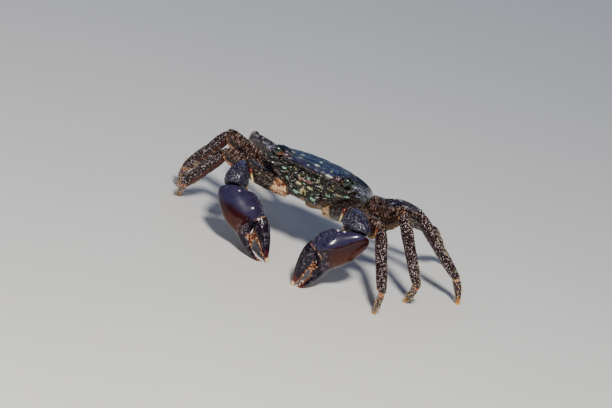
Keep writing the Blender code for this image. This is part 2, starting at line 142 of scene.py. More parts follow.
# Segments: share along, half-width, half-thickness and bow
BASE_PROFILE = ((0, 1.9, 1.9, 0), (0.5, 2.2, 2.1, 0), (1, 1.75, 1.7, 0))
MERUS_PROFILE = (
    (0, 0.5, 1.2, 0), (0.1, 0.74, 1.4, 0), (0.32, 0.97, 1.6, -0.1), (0.6, 1, 1.7, -0.2),
    (0.84, 0.88, 1.7, -0.1), (1, 0.64, 1.5, 0),
)
CARPUS_PROFILE = ((0, 1.7, 1.4, 0), (0.3, 2.1, 1.65, 0.1), (0.7, 2.2, 1.7, 0.1), (1, 1.9, 1.5, 0))
PROPODUS_PROFILE = (
    (0, 1.9, 1.5, 0), (0.3, 2.1, 1.5, 0.05), (0.7, 1.95, 1.4, 0.05), (1, 1.5, 1.15, 0),
)
DACTYL_PROFILE = (
    (0, 1.3, 1.05, 0), (0.25, 1.3, 1.05, 0.35), (0.55, 1.05, 0.85, 0.5), (0.82, 0.68, 0.6, 0.3),
    (1, 0.42, 0.42, 0),
)
TIP_OVERRUN = 0.7  # how far a foot runs on past the floor, which cuts it flat
CLAW_MERUS_PROFILE = (
    (0, 2.1, 1.8, 0), (0.3, 2.6, 2.1, 0), (0.65, 3.1, 2.5, 0.2), (0.88, 3, 2.5, 0.2),
    (1, 2.4, 2.1, 0),
)
CLAW_CARPUS_PROFILE = (
    (0, 2.3, 2.1, 0), (0.2, 3.6, 3.3, 0.2), (0.5, 4.2, 4, 0.4), (0.8, 3.7, 3.5, 0.2),
    (1, 2.5, 2.3, 0),
)
WRIST_SHARE = 0.2  # how far along the claw the mitre of its wrist reaches
# Palm and finger: share of the claw, the edge away from the moving finger, the edge towards it, and
# the half-thickness
PALM_PROFILE = (
    (0, -2.4, 2.3, 2.1), (0.05, -4.7, 3.4, 3), (0.15, -6.4, 5.2, 3.9), (0.27, -6.9, 6.2, 4.3),
    (0.40, -6.5, 6.5, 4.3), (0.475, -5.7, 5.6, 3.9), (0.53, -5.2, 2.4, 3.4), (0.58, -5, -1, 2.5),
    (0.70, -4.8, -1.6, 2), (0.83, -4, -1.7, 1.5), (0.93, -2.9, -1.2, 1), (1, -1.6, -0.4, 0.6),
)
FINGER_PROFILE = (
    (0.42, 2.6, 5.4, 2.2), (0.50, 2.4, 6.4, 2.8), (0.57, 1.7, 6.4, 2.8), (0.66, 0.6, 5.8, 2.5),
    (0.77, 0, 4.7, 2.1), (0.88, -0.2, 3.2, 1.5), (0.96, 0, 1.9, 1), (1.03, 0.2, 1.2, 0.6),
)

# ---- directions


def unit(vector):
    vector = np.asarray(vector, float)
    return vector / np.linalg.norm(vector)


def heading_vector(side, heading, rise):
    """Unit vector that points out from the crab's side, turned back by heading and up by rise."""
    h, r = radians(heading), radians(rise)
    return np.array([OUT[side] * cos(h) * cos(r), sin(h) * cos(r), sin(r)])


def turned(vector, axis, degrees):
    """The vector turned about a unit axis."""
    a = radians(degrees)
    return (
        vector * cos(a)
        + np.cross(axis, vector) * sin(a)
        + axis * (axis @ vector) * (1 - cos(a))
    )


def body_turn():
    """The matrix that leans points of the body frame as the standing body leans."""
    p, r = radians(BODY_PITCH), radians(BODY_ROLL)
    roll = np.array([(cos(r), 0, -sin(r)), (0, 1, 0), (sin(r), 0, cos(r))])
    return roll @ [(1, 0, 0), (0, cos(p), -sin(p)), (0, sin(p), cos(p))]


def box_centre(node):
    low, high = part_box(node)
    return np.array((low + high) / 2) / MM


BODY_TURN = body_turn()
BODY_PLACE = box_centre("eye_l") - EYE @ BODY_TURN


def posed(point):
    """A point of the body frame where the standing body of the part holds it."""
    return point @ BODY_TURN + BODY_PLACE


def mirrored(point, side):
    return np.array(point) * (OUT[side], 1, 1)


# ---- curves, noise and granules


def circle(sides):
    return np.arange(sides) * 2 * pi / sides


def smooth(rows, wanted):
    """The columns of a table, read along a smooth curve at the wanted places of its first column."""
    rows = np.asarray(rows, float)
    x, y = rows[:, 0], rows[:, 1:]
    slope = np.gradient(y, x, axis=0)
    wanted = np.clip(wanted, x[0], x[-1])
    k = np.clip(np.searchsorted(x, wanted) - 1, 0, len(x) - 2)
    step = (x[k + 1] - x[k])[:, None]
    t = (wanted - x[k])[:, None] / step
    start = (1 + 2 * t) * (1 - t) ** 2 * y[k] + t * (1 - t) ** 2 * step * slope[k]
    end = t * t * (3 - 2 * t) * y[k + 1] - t * t * (1 - t) * step * slope[k + 1]
    return start + end


def fade(value, low, high):
    """Rises smoothly from 0 at low to 1 at high, or falls where low is the larger."""
    t = np.clip((value - low) / (high - low), 0, 1)
    return t * t * (3 - 2 * t)


def plateau(value, low, start, end, high):
    """0 outside low and high and 1 from start to end."""
    return fade(value, low, start) * fade(value, high, end)


def columns(points):
    return np.moveaxis(points, -1, 0)


def hill(value, centre, reach):
    return np.exp(-(((value - centre) / reach) ** 2))


def ripple(value, step):
    """Rises and falls between 0 and 1, and touches 0 once in each step."""
    return np.abs(np.sin(value * pi / step))


def squared(share, power):
    return np.sign(share) * np.abs(share) ** power


def scatter(cell, salt):
    """A steady number from 0 to 1 for each whole-number cell."""
    mixed = cell[..., 0] * 73856093 ^ cell[..., 1] * 19349663 ^ cell[..., 2] * 83492791 ^ salt * 40503
    mixed = (mixed ^ (mixed >> 13)) * 1274126177 & 0x7FFFFFFF
    mixed = (mixed ^ (mixed >> 15)) * 668265263 & 0x7FFFFFFF
    return ((mixed >> 8) & 0xFFFF) / 65535


def rolling(points, size, salt):
    """Smooth noise from -1 to 1 with hills about this far apart."""
    place = points / size
    base = np.floor(place).astype(np.int64)
    t = place - base
    t = t * t * (3 - 2 * t)
    total = np.zeros(points.shape[:-1])
    for corner in itertools.product((0, 1), repeat=3):
        weight = np.prod(np.where(corner, t, 1 - t), axis=-1)
        total += weight * scatter(base + corner, salt)
    return 2 * total - 1


def granules(points, size, salt, fill=1):
    """Height from 0 to 1 of round granules, about one to each cell of this size."""
    place = points / size
    base = np.floor(place).astype(np.int64)
    best = np.zeros(points.shape[:-1])
    for step in itertools.product((-1, 0, 1), repeat=3):
        cell = base + step
        jitter = np.stack([scatter(cell, salt + k) for k in (1, 2, 3)], axis=-1)
        away = place - cell - 0.2 - 0.6 * jitter
        reach = 0.34 + 0.22 * scatter(cell, salt + 4)
        dome = np.clip(1 - (away**2).sum(-1) / reach**2, 0, 1)
        best = np.maximum(best, np.sqrt(dome) * (scatter(cell, salt + 5) < fill))
    return best


# ---- skins over grids of points


def outward(grid):
    """Unit normals of a grid of points that is closed the short way round."""
    around = np.roll(grid, -1, 1) - np.roll(grid, 1, 1)
    along = np.gradient(grid, axis=0)
    normal = np.cross(around, along)
    normal /= np.maximum(np.linalg.norm(normal, axis=-1, keepdims=True), 1e-9)
    outside = (normal * (grid - grid.mean(1, keepdims=True))).sum()
    return normal if outside > 0 else -normal


def set_attribute(mesh, name, values):
    kind, field = ("FLOAT_VECTOR", "vector") if values.shape[-1] == 3 else ("FLOAT", "value")
    made = mesh.attributes.new(name, kind, "POINT")
    made.data.foreach_set(field, values.astype(np.float32).ravel())


def set_unwrap(mesh, layout):
    mesh.uv_layers.new(name="OFBake").uv.foreach_set("vector", layout.astype(np.float32).ravel())


def placed(name, data):
    """A new object of the scene."""
    made = bpy.data.objects.new(name, data)
    bpy.context.scene.collection.objects.link(made)
    return made


def dressed(name, mesh, finish, nodes=()):
    """The mesh as a piece of the crab that replaces these nodes of the part."""
    mesh.materials.append(finish)
    mesh.shade_smooth()
    piece = placed(name, mesh)
    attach(piece, "root")
    if nodes:
        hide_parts(*nodes)


def with_ends(rows):
    """The values of all rows of points, one after another, then the first and the last row's means."""
    return np.concatenate([rows.reshape(-1, *rows.shape[2:]), [rows[0].mean(0), rows[-1].mean(0)]])


def skin(name, grid, local, finish, slot, relief=0, extra=False, **shares):
    """A closed skin over a grid of points, with its unwrap, local coordinates and painted shares.

    It replaces the part's node of that name, unless it is an extra that only the scene has.
    """
    rows, sides = grid.shape[:2]
    if np.any(relief):
        grid = grid + outward(grid) * np.asarray(relief)[..., None]
    grid[..., 2] = np.maximum(grid[..., 2], 0)
    points = with_ends(grid) * MM
    k, i = (n.ravel() for n in np.meshgrid(np.arange(rows - 1), np.arange(sides), indexing="ij"))
    row, column = np.stack([k, k, k + 1, k + 1], -1), np.stack([i, i + 1, i + 1, i], -1)
    quads = row * sides + column % sides
    faces = quads.tolist()
    maps = [np.stack([column / sides, row / (rows - 1)], -1)]
    ring = np.arange(sides)
    for end, one, other in ((0, ring + 1, ring), (1, ring, ring + 1)):
        base = end * (rows - 1) * sides
        apex = ring * 0 + rows * sides + end
        faces += np.stack([apex, base + one % sides, base + other % sides], -1).tolist()
        u = np.stack([ring + 0.5, one, other], -1) / sides
        maps.append(np.stack([u, 0 * u + end], -1))
    name, nodes = (name, ()) if extra else ("skin_" + name, (name,))
    mesh = bpy.data.meshes.new(name)
    mesh.from_pydata(points.tolist(), [], faces)
    set_unwrap(mesh, np.vstack([part.reshape(-1, 2) for part in maps]))
    set_attribute(mesh, "local", with_ends(local))
    for label, share in shares.items():
        set_attribute(mesh, label, with_ends(share))
    a, b, c, d = (points[quads[:, n]] - points.mean(0) for n in range(4))
    if (np.cross(c - a, d - b) * (a + b + c + d)).sum() < 0:
        mesh.flip_normals()
    dressed(name, mesh, finish, nodes)


# ---- spikes: bristles, spines and thorns


def spikes(name, rows, radius, droop, rings, sides, finish):
    """Many tapered spikes in one mesh, one for each row of root, way, length and place in the unwrap."""
    roots, ways, lengths, places = zip(*rows)
    roots, ways, places = (np.asarray(a, float) for a in (roots, ways, places))
    lengths = np.asarray(lengths, float)[:, None, None]
    t = np.linspace(0, 1, rings, endpoint=False)[None, :, None]
    across = np.cross(ways, ALMOST_UP)
    across /= np.linalg.norm(across, axis=1, keepdims=True)
    over = np.cross(ways, across)
    line = roots[:, None] + ways[:, None] * lengths * t
    line[..., 2] -= (droop * lengths * t**2)[..., 0]
    tips = roots + ways * lengths[:, 0]
    tips[:, 2] -= droop * lengths[:, 0, 0]
    turn = circle(sides)[None, :, None]
    ring = across[:, None] * np.cos(turn) + over[:, None] * np.sin(turn)
    body = line[:, :, None] + ring[:, None] * (radius * (1 - SPIKE_TAPER * t))[..., None]
    points = np.concatenate([body.reshape(len(roots), -1, 3), tips[:, None]], axis=1).reshape(-1, 3)
    points[:, 2] = np.maximum(points[:, 2], SPIKE_CLEARANCE)
    one = []
    for k, i in itertools.product(range(rings - 1), range(sides)):
        j = (i + 1) % sides
        one.append((k * sides + i, k * sides + j, (k + 1) * sides + j, (k + 1) * sides + i))
    for i in range(sides):
        one.append(((rings - 1) * sides + i, (rings - 1) * sides + (i + 1) % sides, rings * sides))
    one.append(tuple(range(sides))[::-1])
    count = rings * sides + 1
    faces = [tuple(n + count * spike for n in face) for spike in range(len(roots)) for face in one]
    mesh = bpy.data.meshes.new(name)
    mesh.from_pydata((points * MM).tolist(), [], faces)
    corner = np.array([(n % sides / sides, n // sides / rings) for face in one for n in face])
    set_unwrap(mesh, places[:, None] + corner[None] * TUFT_PATCH)
    along = np.append(np.repeat(np.arange(rings) / rings, sides), 1)
    set_attribute(mesh, "tone", np.tile(along, len(roots)))
    dressed(name, mesh, finish)


# ---- materials


def paint(colour):
    """Linear values for the shader, from a colour as it looks on a screen, 0 to 255."""
    shares = [c / 255 for c in colour]
    return tuple(c / 12.92 if c < 0.04 else ((c + 0.055) / 1.055) ** 2.4 for c in shares) + (1,)


class Wire:
    """A value that nodes work out. It takes part in sums, and | is the larger of two.

    wire[low:high] rises smoothly from 0 at low to 1 at high, or falls where low is the larger.
    """

    def __init__(self, look, socket):
        self.look, self.socket = look, socket

    def __abs__(self):
        return self.look.math("ABSOLUTE", self)

    def __getitem__(self, span):
        made = self.look.node("MapRange", interpolation_type="SMOOTHSTEP", Value=self)
        flip = span.start > span.stop
        ends = sorted((span.start, span.stop)) + [float(flip), float(not flip)]
        for key, number in zip(("From Min", "From Max", "To Min", "To Max"), ends):
            made.inputs[key].default_value = number
        return Wire(self.look, made.outputs["Result"])

    def near(self, centre, reach):
        """1 where the value is centre, and 0 from reach away."""
        return abs(self - centre)[reach:0]


def by_math(operation):
    return lambda self, other: self.look.math(operation, self, other)


Wire.__add__, Wire.__sub__ = by_math("ADD"), by_math("SUBTRACT")
Wire.__mul__, Wire.__or__ = by_math("MULTIPLY"), by_math("MAXIMUM")


class Look:
    """A procedural material, built node by node and coloured layer by layer.

    Lengths are in millimetres, and colours are as they look on a screen, 0 to 255. The place is the
    object's own, and local coordinates are the ones a piece carries.
    """

    def __init__(self, name):
        self.material = bpy.data.materials.new(name)
        self.material.use_nodes = True
        self.tree = self.material.node_tree
        self.shader = self.tree.nodes["Principled BSDF"]
        self.local = self.share("local", "Vector")
        parts = self.node("SeparateXYZ", Vector=self.local)
        self.x, self.y, self.z = (Wire(self, socket) for socket in parts.outputs)
        self.place = self.vector("SCALE", self.node("TexCoord").outputs["Object"], Scale=1 / MM)
        self.colour = None

    def put(self, socket, value):
        if isinstance(value, Wire):
            value = value.socket
        if isinstance(value, bpy.types.NodeSocket):
            self.tree.links.new(value, socket)
        else:
            socket.default_value = value

    def node(self, kind, **values):
        made = self.tree.nodes.new("ShaderNode" + kind)
        for key, value in values.items():
            if key in made.inputs.keys():
                self.put(made.inputs[key], value)
            else:
                setattr(made, key, value)
        return made

    def share(self, name, output="Fac"):
        return Wire(self, self.node("Attribute", attribute_name=name).outputs[output])

    def worked(self, made, *values):
        """The result of a node, with these values in its first inputs."""
        for socket, value in zip(made.inputs, values):
            self.put(socket, value)
        return Wire(self, made.outputs[0])

    def math(self, operation, *values):
        return self.worked(self.node("Math", operation=operation), *values)

    def vector(self, operation, *values, **named):
        return self.worked(self.node("VectorMath", operation=operation, **named), *values)

    def mix(self, share, under, over):
        made = self.node("Mix", data_type="RGBA")
        for number, value in zip((0, 6, 7), (share, under, over)):
            self.put(made.inputs[number], paint(value) if isinstance(value, tuple) else value)
        return Wire(self, made.outputs[2])

    def lay(self, share, colour):
        """Lays a colour over those so far, as much of it as share."""
        self.colour = self.mix(share, self.colour, colour)

    def noise(self, size, detail=2, where=None, stretch=None):
        spot = where or self.place
        if stretch:
            spot = self.vector("MULTIPLY", spot, stretch)
        made = self.node("TexNoise", Vector=spot, Scale=1 / size, Detail=detail, Roughness=0.6)
        return Wire(self, made.outputs["Fac"])

    def mottle(self, size, detail, low, high, under, over):
        """A mix of two colours by noise, which goes from one to the other between low and high."""
        return self.mix(self.noise(size, detail)[low:high], under, over)

    def cells(self, size, where=None, feature="F1", jitter=1):
        spot = where or self.place
        made = self.node("TexVoronoi", feature=feature, Vector=spot, Scale=1 / size, Randomness=jitter)
        return Wire(self, made.outputs["Distance"])

    def warped(self, size, reach, where=None):
        """The place, pushed about by noise."""
        where = where or self.place
        colour = self.node("TexNoise", Vector=where, Scale=1 / size, Detail=1).outputs["Color"]
        push = self.vector("SCALE", self.vector("SUBTRACT", colour, (0.5,) * 3), Scale=reach)
        return self.vector("ADD", where, push)

    def finish(self, roughness, height=None, depth=0, coat=0, coat_roughness=0.1, specular=0.5):
        """The material, with a bump of this depth where height goes from 0 to 1."""
        sockets = self.shader.inputs
        self.put(sockets["Base Color"], self.colour)
        self.put(sockets["Roughness"], roughness)
        sockets["Coat Weight"].default_value = coat
        sockets["Coat Roughness"].default_value = coat_roughness
        sockets["Specular IOR Level"].default_value = specular
        if height is not None:
            made = self.node("Bump", Height=height, Strength=1, Distance=depth * MM)
            self.put(sockets["Normal"], made.outputs["Normal"])
        return self.material


def shell_look():
    look = Look("shell")
    spot = look.warped(3, 1.6)
    # Dark base in patches of deep blue and grey; the deep-blue patches are partly painted sky reflection on
    # the wet shell.
    look.colour = look.mix(look.noise(4, 3, spot)[0.42:0.58], (3, 13, 46), (22, 27, 36))
    line = look.noise(1.1, 3, look.warped(2, 0.6, look.local), (0.25, 1.6, 1))
    look.lay(line[0.55:0.62] * 0.5, (96, 106, 90))
    look.lay(line[0.45:0.39] * 0.8, (4, 5, 7))
    look.lay(look.cells(0.9, spot)[0.32:0.2] * look.noise(2.6)[0.5:0.58] * 0.7, (136, 146, 120))
    look.lay(look.y[-13:-15.2] * look.noise(2)[0.4:0.6] * 0.6, (62, 48, 80))
    grey = look.mottle(0.9, 3, 0.42, 0.6, (30, 32, 42), (176, 184, 204))
    grey = look.mix(look.noise(2.1)[0.54:0.6], grey, (64, 44, 84))
    look.lay(abs(look.x)[14.5:16] * look.z[1.2:-0.6] * 0.75, grey)
    # The shell's pale spots, among them a few painted glints.
    look.lay(look.share("pale") * look.noise(0.45)[0.26:0.4], (204, 208, 186))
    front = look.y[-11:-13]
    below, _ = streaked(look, look.warped(1.8, 0.9, look.local), (12, 9, 9), 1.5)
    look.lay(front * look.z[-1.5:-1.62], below)
    look.lay(front * look.z.near(-1.58, 0.16) * look.noise(0.8)[0.4:0.55] * 0.6, (112, 66, 44))
    # Painted shade under the overhanging front edge: a dark maroon band along the edge, partly its own dark
    # rim, and a black band below it.
    look.lay(front * look.z.near(-1.25, 0.4), (14, 3, 5))
    look.lay(front * look.z.near(-2, 0.4), (3, 2, 2))
    pit = look.cells(0.55) + look.noise(0.3) + line * 2.5
    rough = look.noise(1.2, 3) * 0.22 + 0.12
    return look.finish(rough, pit, 0.14, 0.5, 0.07, 0.35)


def streaked(look, spot, dark, size):
    """Dark skin with short pale streaks of several colours, as on the face and mouthparts, and near-white
    flecks on the brightest streaks that are painted glints of the wet skin.
    """
    streak = look.noise(0.42, 3, spot, (0.45, 1, 1.1))
    kind = look.noise(size, 2, spot)
    pale = look.mix(kind[0.4:0.5], (118, 142, 120), (150, 136, 100))
    pale = look.mix(kind[0.56:0.6], pale, (104, 50, 68))
    pale = look.mix(look.noise(size * 1.3)[0.56:0.62], pale, (132, 142, 166))
    under = look.mix(streak[0.56:0.62] * 0.85, dark, pale)
    # Near-white flecks: painted glints of the wet skin.
    return look.mix(streak[0.64:0.67], under, (240, 244, 236)), streak


def lay_marks(look, grain, pale, green):
    """The large pale marks and the green ones, which lie on black."""
    look.lay(look.share("pale") * grain[0.34:0.46], pale)
    mint = look.share("mint")
    look.lay(mint[0.02:0.3], (3, 4, 4))
    look.lay(mint[0.5:0.8] * grain[0.3:0.42], green)


def face_look():
    """The face, cheeks and belly. Local coordinates are the body frame's."""
    look = Look("underside")
    spot = look.warped(1.8, 0.9, look.local)
    grain = look.noise(0.5, 3, spot)
    look.colour, streak = streaked(look, spot, look.mix(grain[0.4:0.6], (3, 3, 3), (18, 13, 11)), 1.5)
    look.lay(look.z.near(-5.6, 1.3) * abs(look.x).near(13, 3.2) * 0.8, (10, 12, 12))
    stripe = look.noise(0.8, 3, look.warped(2, 0.5, look.local), (0.12, 0.3, 1.9))
    wide = look.mix(stripe[0.45:0.6], (34, 24, 20), (128, 106, 90))
    wide = look.mix(stripe[0.62:0.7] * 0.7, wide, (170, 140, 140))
    cheek = (abs(look.x) + look.noise(1.5))[10.8:12.4]
    look.lay(cheek * look.z[-5.6:-6.8] | look.y[-12:-9], wide)
    olive = look.mottle(1, 3, 0.38, 0.62, (36, 25, 15), (96, 78, 44))
    olive = look.mix(look.noise(1.4)[0.54:0.6], olive, (76, 50, 42))
    olive = look.mix(look.z[-10.6:-11.8] * 0.6, olive, (206, 168, 118))
    look.lay((look.z + look.noise(1.2) * 2)[-7.4:-9.2], olive)
    rib = look.math("SINE", (look.y + 2.3) * (2 * pi / 4.4))
    look.lay(rib[0.93:0.99] * abs(look.x)[3:4.4] * look.z[-10.8:-11.6] * 0.7, (84, 60, 36))
    look.lay(look.share("pink") * look.noise(0.5)[0.35:0.5] * 0.8, (160, 104, 102))
    green = look.mottle(0.7, 2, 0.44, 0.6, (88, 134, 106), (152, 190, 170))
    lay_marks(look, grain, (186, 176, 126), green)
    return look.finish(look.noise(0.7) * 0.24 + 0.1, streak + grain, 0.32, 0.25, 0.06, 0.4)


def mouth_look():
    look = Look("mouth")
    spot = look.warped(1.5, 0.7)
    grain = look.noise(0.45, 3, spot)
    look.colour, streak = streaked(look, spot, look.mix(grain[0.4:0.6], (3, 3, 3), (22, 16, 12)), 1.3)
    look.lay(look.z[-1.5:-2.6], look.mix(grain, (40, 30, 16), (104, 88, 52)))
    lay_marks(look, grain, (200, 190, 136), (140, 182, 156))
    return look.finish(0.18, streak + grain, 0.26, 0.25, 0.06, 0.4)


def eye_look():
    look = Look("eye")
    stripe = look.noise(0.45, 2, look.local, (0.2, 0.2, 2.2))
    look.colour = look.mix(stripe[0.44:0.6], (4, 9, 7), (40, 48, 34))
    # A light band across the eye: painted sky reflection.
    look.lay(look.z.near(0.35, 0.4) * 0.7, (70, 88, 92))
    look.lay(look.z[0.9:1.2], (8, 14, 12))
    tone = look.share("tone")
    look.lay(tone[0.02:0.2], (96, 98, 74))
    look.lay(tone[0.3:0.5], look.mottle(0.5, 2, 0.45, 0.6, (46, 10, 8), (128, 44, 20)))
    return look.finish(0.12, look.cells(0.12), 0.004, 0.9, 0.03)


def grained_look(name, under, over, roughness, depth, coat, fleck=None):
    """Two colours in fine grain, with flecks of a third; on the eyestalks these blue-white flecks are
    painted glints.
    """
    look = Look(name)
    grain = look.noise(0.5, 3)
    look.colour = look.mix(grain[0.4:0.6], under, over)
    if fleck:
        look.lay(look.noise(0.5)[0.6:0.64], fleck)
    return look.finish(roughness, grain, depth, coat)


def claw_look(name, edge_start, edge_slope, edge_blur):
    """A palm and its finger. Local x runs along the claw, y towards the moving finger, z through it.

    The violet upper face ends at a line that rises towards the fingers from edge_start by edge_slope,
    over a width of edge_blur.
    """
    look = Look(name)
    share = look.x * (1 / CHELA_LENGTH)
    wander = (look.noise(4, 3) - 0.5) * 1.6
    above = look.y - look.x * edge_slope + wander - edge_start
    upper = above[-edge_blur:edge_blur]
    violet = look.mix(look.noise(3.5, 3), (27, 22, 48), (60, 54, 86))
    rows = look.noise(0.5, 2, look.local, (1, 0.3, 0.6))
    violet = look.mix(rows[0.48:0.6] * (look.y[3:5.5] * 0.5 + 0.2), violet, (13, 10, 24))
    # Pale dots on the granules of the palm's upper rim: painted glints.
    rim = look.y[3.6:5] * abs(look.z)[3.6:2]
    violet = look.mix(look.cells(0.55)[0.24:0.17] * rim * 0.8, violet, (176, 172, 196))
    brown = look.mix((above + wander)[-1:-6.5], (42, 11, 16), (72, 28, 9))
    brown = look.mix(look.noise(1.6, 3)[0.5:0.6] * 0.4, brown, (30, 8, 14))
    look.colour = look.mix(upper, brown, violet)
    reach = share - look.y * -0.02
    darkness = upper * share[0.47:0.53] | upper[0.6:0.3] * reach[0.4:0.54]
    look.lay(darkness, look.mottle(1.4, 3, 0.4, 0.6, (7, 4, 15), (31, 14, 33)))
    spot = look.warped(0.7, 0.7)
    hinge = share[0.4:0.46] * share[0.66:0.56]
    zone = darkness | reach[0.38:0.43] * upper[0.5:0.2]
    fleck = look.cells(0.75, spot, "DISTANCE_TO_EDGE")[0.045:0.015]
    fleck = fleck * (look.noise(1.7) + hinge * 0.07)[0.57:0.62] * zone
    speck = look.cells(0.5, spot)[0.14:0.09] * look.noise(1.5)[0.52:0.6] * zone
    look.lay((fleck | speck) * 0.5, (190, 182, 196))
    look.lay(share[0.86:0.95] * look.noise(0.8)[0.34:0.6] * 0.75, (118, 46, 24))
    look.lay(share[0.955:0.98], (218, 180, 140))
    teeth = look.mottle(0.6, 2, 0.48, 0.6, (76, 24, 13), (212, 160, 124))
    look.lay(look.share("tone"), teeth)
    return look.finish(0.26, look.noise(0.35), 0.015, 0.45, 0.06, 0.12)


def knuckle_look():
    """The claw legs' merus and carpus: dark, closely dotted with white."""
    look = Look("knuckle")
    dots = look.cells(0.42, jitter=0.8)
    look.colour = look.mix(look.noise(2.2, 3), (9, 9, 30), (44, 34, 60))
    look.lay(dots[0.26:0.17] * look.noise(1.7)[0.32:0.42] * 0.9, (206, 206, 216))
    brown = look.mottle(1, 3, 0.38, 0.62, (10, 6, 6), (46, 30, 26))
    streak = look.noise(0.5, 2, look.local, (0.5, 1, 1))
    brown = look.mix(streak[0.58:0.64] * 0.7, brown, (160, 140, 124))
    look.lay(look.share("brown"), brown)
    pale = look.mottle(2.2, 2, 0.4, 0.5, (124, 66, 32), (216, 176, 130))
    pale = look.mix(look.noise(0.9, 3)[0.53:0.6], pale, (64, 28, 18))
    look.lay(look.share("tone"), pale)
    return look.finish(0.3, dots[0.45:0.1], 0.1, 0.5, 0.1, 0.3)


def lay_ankles(look):
    """Orange skin with cream patches and dark specks, at the joints of the legs."""
    grain = look.noise(0.6)
    orange = look.mix(grain[0.46:0.6], (172, 88, 38), (238, 196, 150))
    look.lay(look.share("tone"), look.mix(grain[0.42:0.34] * 0.8, orange, (50, 18, 12)))


def merus_look():
    """Local y runs from the lower edge to the upper edge of the leg, and x along it."""
    look = Look("merus")
    spot = look.warped(1.2, 0.5, look.local)
    look.colour = look.mottle(1.4, 3, 0.36, 0.64, (11, 6, 5), (58, 34, 24))
    look.lay(look.y[-1.2:-2.6], look.mix(look.noise(1.2), (46, 25, 11), (106, 70, 36)))
    stripe = look.noise(0.4, 2, spot, (1, 0.3, 0.3))
    look.lay(stripe[0.56:0.61] * (look.y + look.noise(1.6))[0.6:2.1] * 0.65, (184, 150, 142))
    seen = look.noise(1.5)[0.44:0.54] * look.y[-0.5:0.6]
    look.lay(look.cells(0.5, spot)[0.3:0.22] * seen * 0.6, (190, 172, 156))
    # On the rear legs' thighs: a painted blue-white sky reflection along the upper edge, in streaks.
    sheen_streak = look.noise(0.6, 2, look.local, (0.2, 1, 1))[0.54:0.62]
    look.lay(look.share("sheen") * 0.75, look.mix(sheen_streak, (26, 32, 58), (170, 174, 192)))
    lay_ankles(look)
    return look.finish(look.noise(0.8) * 0.26 + 0.16, stripe, 0.14, 0.3, 0.07, 0.15)


def shank_look():
    """The carpus and propodus: maroon, speckled with pale pink, smooth red-brown on the inner edge."""
    look = Look("shank")
    look.colour = look.mottle(0.9, 3, 0.36, 0.64, (6, 2, 3), (44, 13, 9))
    seen = look.noise(1.2, 2, look.local, (0.4, 1, 1))[0.38:0.5]
    speckle = look.cells(0.56, look.warped(0.8, 0.4))[0.35:0.29] * (seen * 0.75 + 0.25)
    look.lay(speckle * 0.95, (226, 204, 208))
    red = look.mix(look.noise(0.9, 3), (40, 10, 8), (98, 40, 22))
    look.lay((look.y + look.noise(1.2))[0:-0.6] * 0.88, red)
    lay_ankles(look)
    return look.finish(0.36, speckle + look.noise(0.4), 0.2, 0.3, 0.05, 0.15)


def foot_look():
    """The dactyl: speckled like the shank, with an amber tip."""
    look = Look("foot")
    look.colour = look.mottle(0.8, 3, 0.38, 0.62, (12, 5, 6), (66, 30, 18))
    pale = look.cells(0.56, look.warped(0.7, 0.3))[0.33:0.27] * look.noise(1.1)[0.36:0.48]
    look.lay(pale * 0.95, (222, 200, 202))
    amber = look.mix(look.noise(0.6), (150, 66, 22), (222, 152, 66))
    look.lay((look.x + look.noise(0.8) * 2.4)[8:10.4], amber)
    look.lay(look.x[9.2:10], (226, 176, 84))
    lay_ankles(look)
    return look.finish(0.32, pale + look.noise(0.4), 0.2, 0.5, 0.05, 0.2)


def base_look():
    """The first segment of a walking leg: tan with rust and dark patches."""
    look = Look("coxa")
    spot = look.warped(1.6, 1)
    look.colour = look.mix(look.noise(0.8), (120, 84, 46), (206, 184, 140))
    look.lay(look.noise(1.5, 2, spot)[0.5:0.55] * 0.85, (130, 42, 24))
    look.lay(look.noise(2.1, 2, spot)[0.52:0.57], (34, 22, 20))
    return look.finish(0.3, look.noise(0.5, 3), 0.1, 0.5)


def plain_look(name, under, over, roughness, size=0, span=None, coat=0, coat_roughness=0.1):
    """Two colours, mixed by noise of this size or, if it is 0, from the root of a spike to its tip.

    A pair of roughnesses is for the root and the tip.
    """
    look = Look(name)
    share = look.noise(size) if size else look.share("tone")
    look.colour = look.mix(share[span[0]:span[1]] if span else share, under, over)
    if isinstance(roughness, tuple):
        roughness = share * (roughness[1] - roughness[0]) + roughness[0]
    return look.finish(roughness, coat=coat, coat_roughness=coat_roughness)


def floor_look():
    look = Look("floor")
    look.colour = look.mix(look.noise(60, 3), (236, 236, 233), (243, 243, 241))
    return look.finish(0.7, look.noise(1.5), 0.02)


# ---- the body


def body_outline(turn):
    """The outline's reach in each direction round the body's centre."""
    half = np.array(OUTLINE)
    whole = np.vstack([half, (half * (-1, 1))[-2:0:-1]])
    angles = np.unwrap(np.arctan2(whole[:, 1] - BODY_CENTRE_Y, whole[:, 0]))
    reach = np.hypot(whole[:, 0], whole[:, 1] - BODY_CENTRE_Y)
    rows = np.stack([angles, reach], -1)
    loop = np.vstack([rows[-3:] - (2 * pi, 0), rows, rows[:3] + (2 * pi, 0)])
    return smooth(loop, turn)[:, 0]


def tooth(angle, tip, width, rise):
    """A side tooth that leans forward, with its tip at this angle from straight ahead."""
    ahead = (radians(tip) - angle) / width
    return rise * np.where(ahead > 0, fade(ahead, 0.35, 0), fade(-ahead, 1.3, 0))


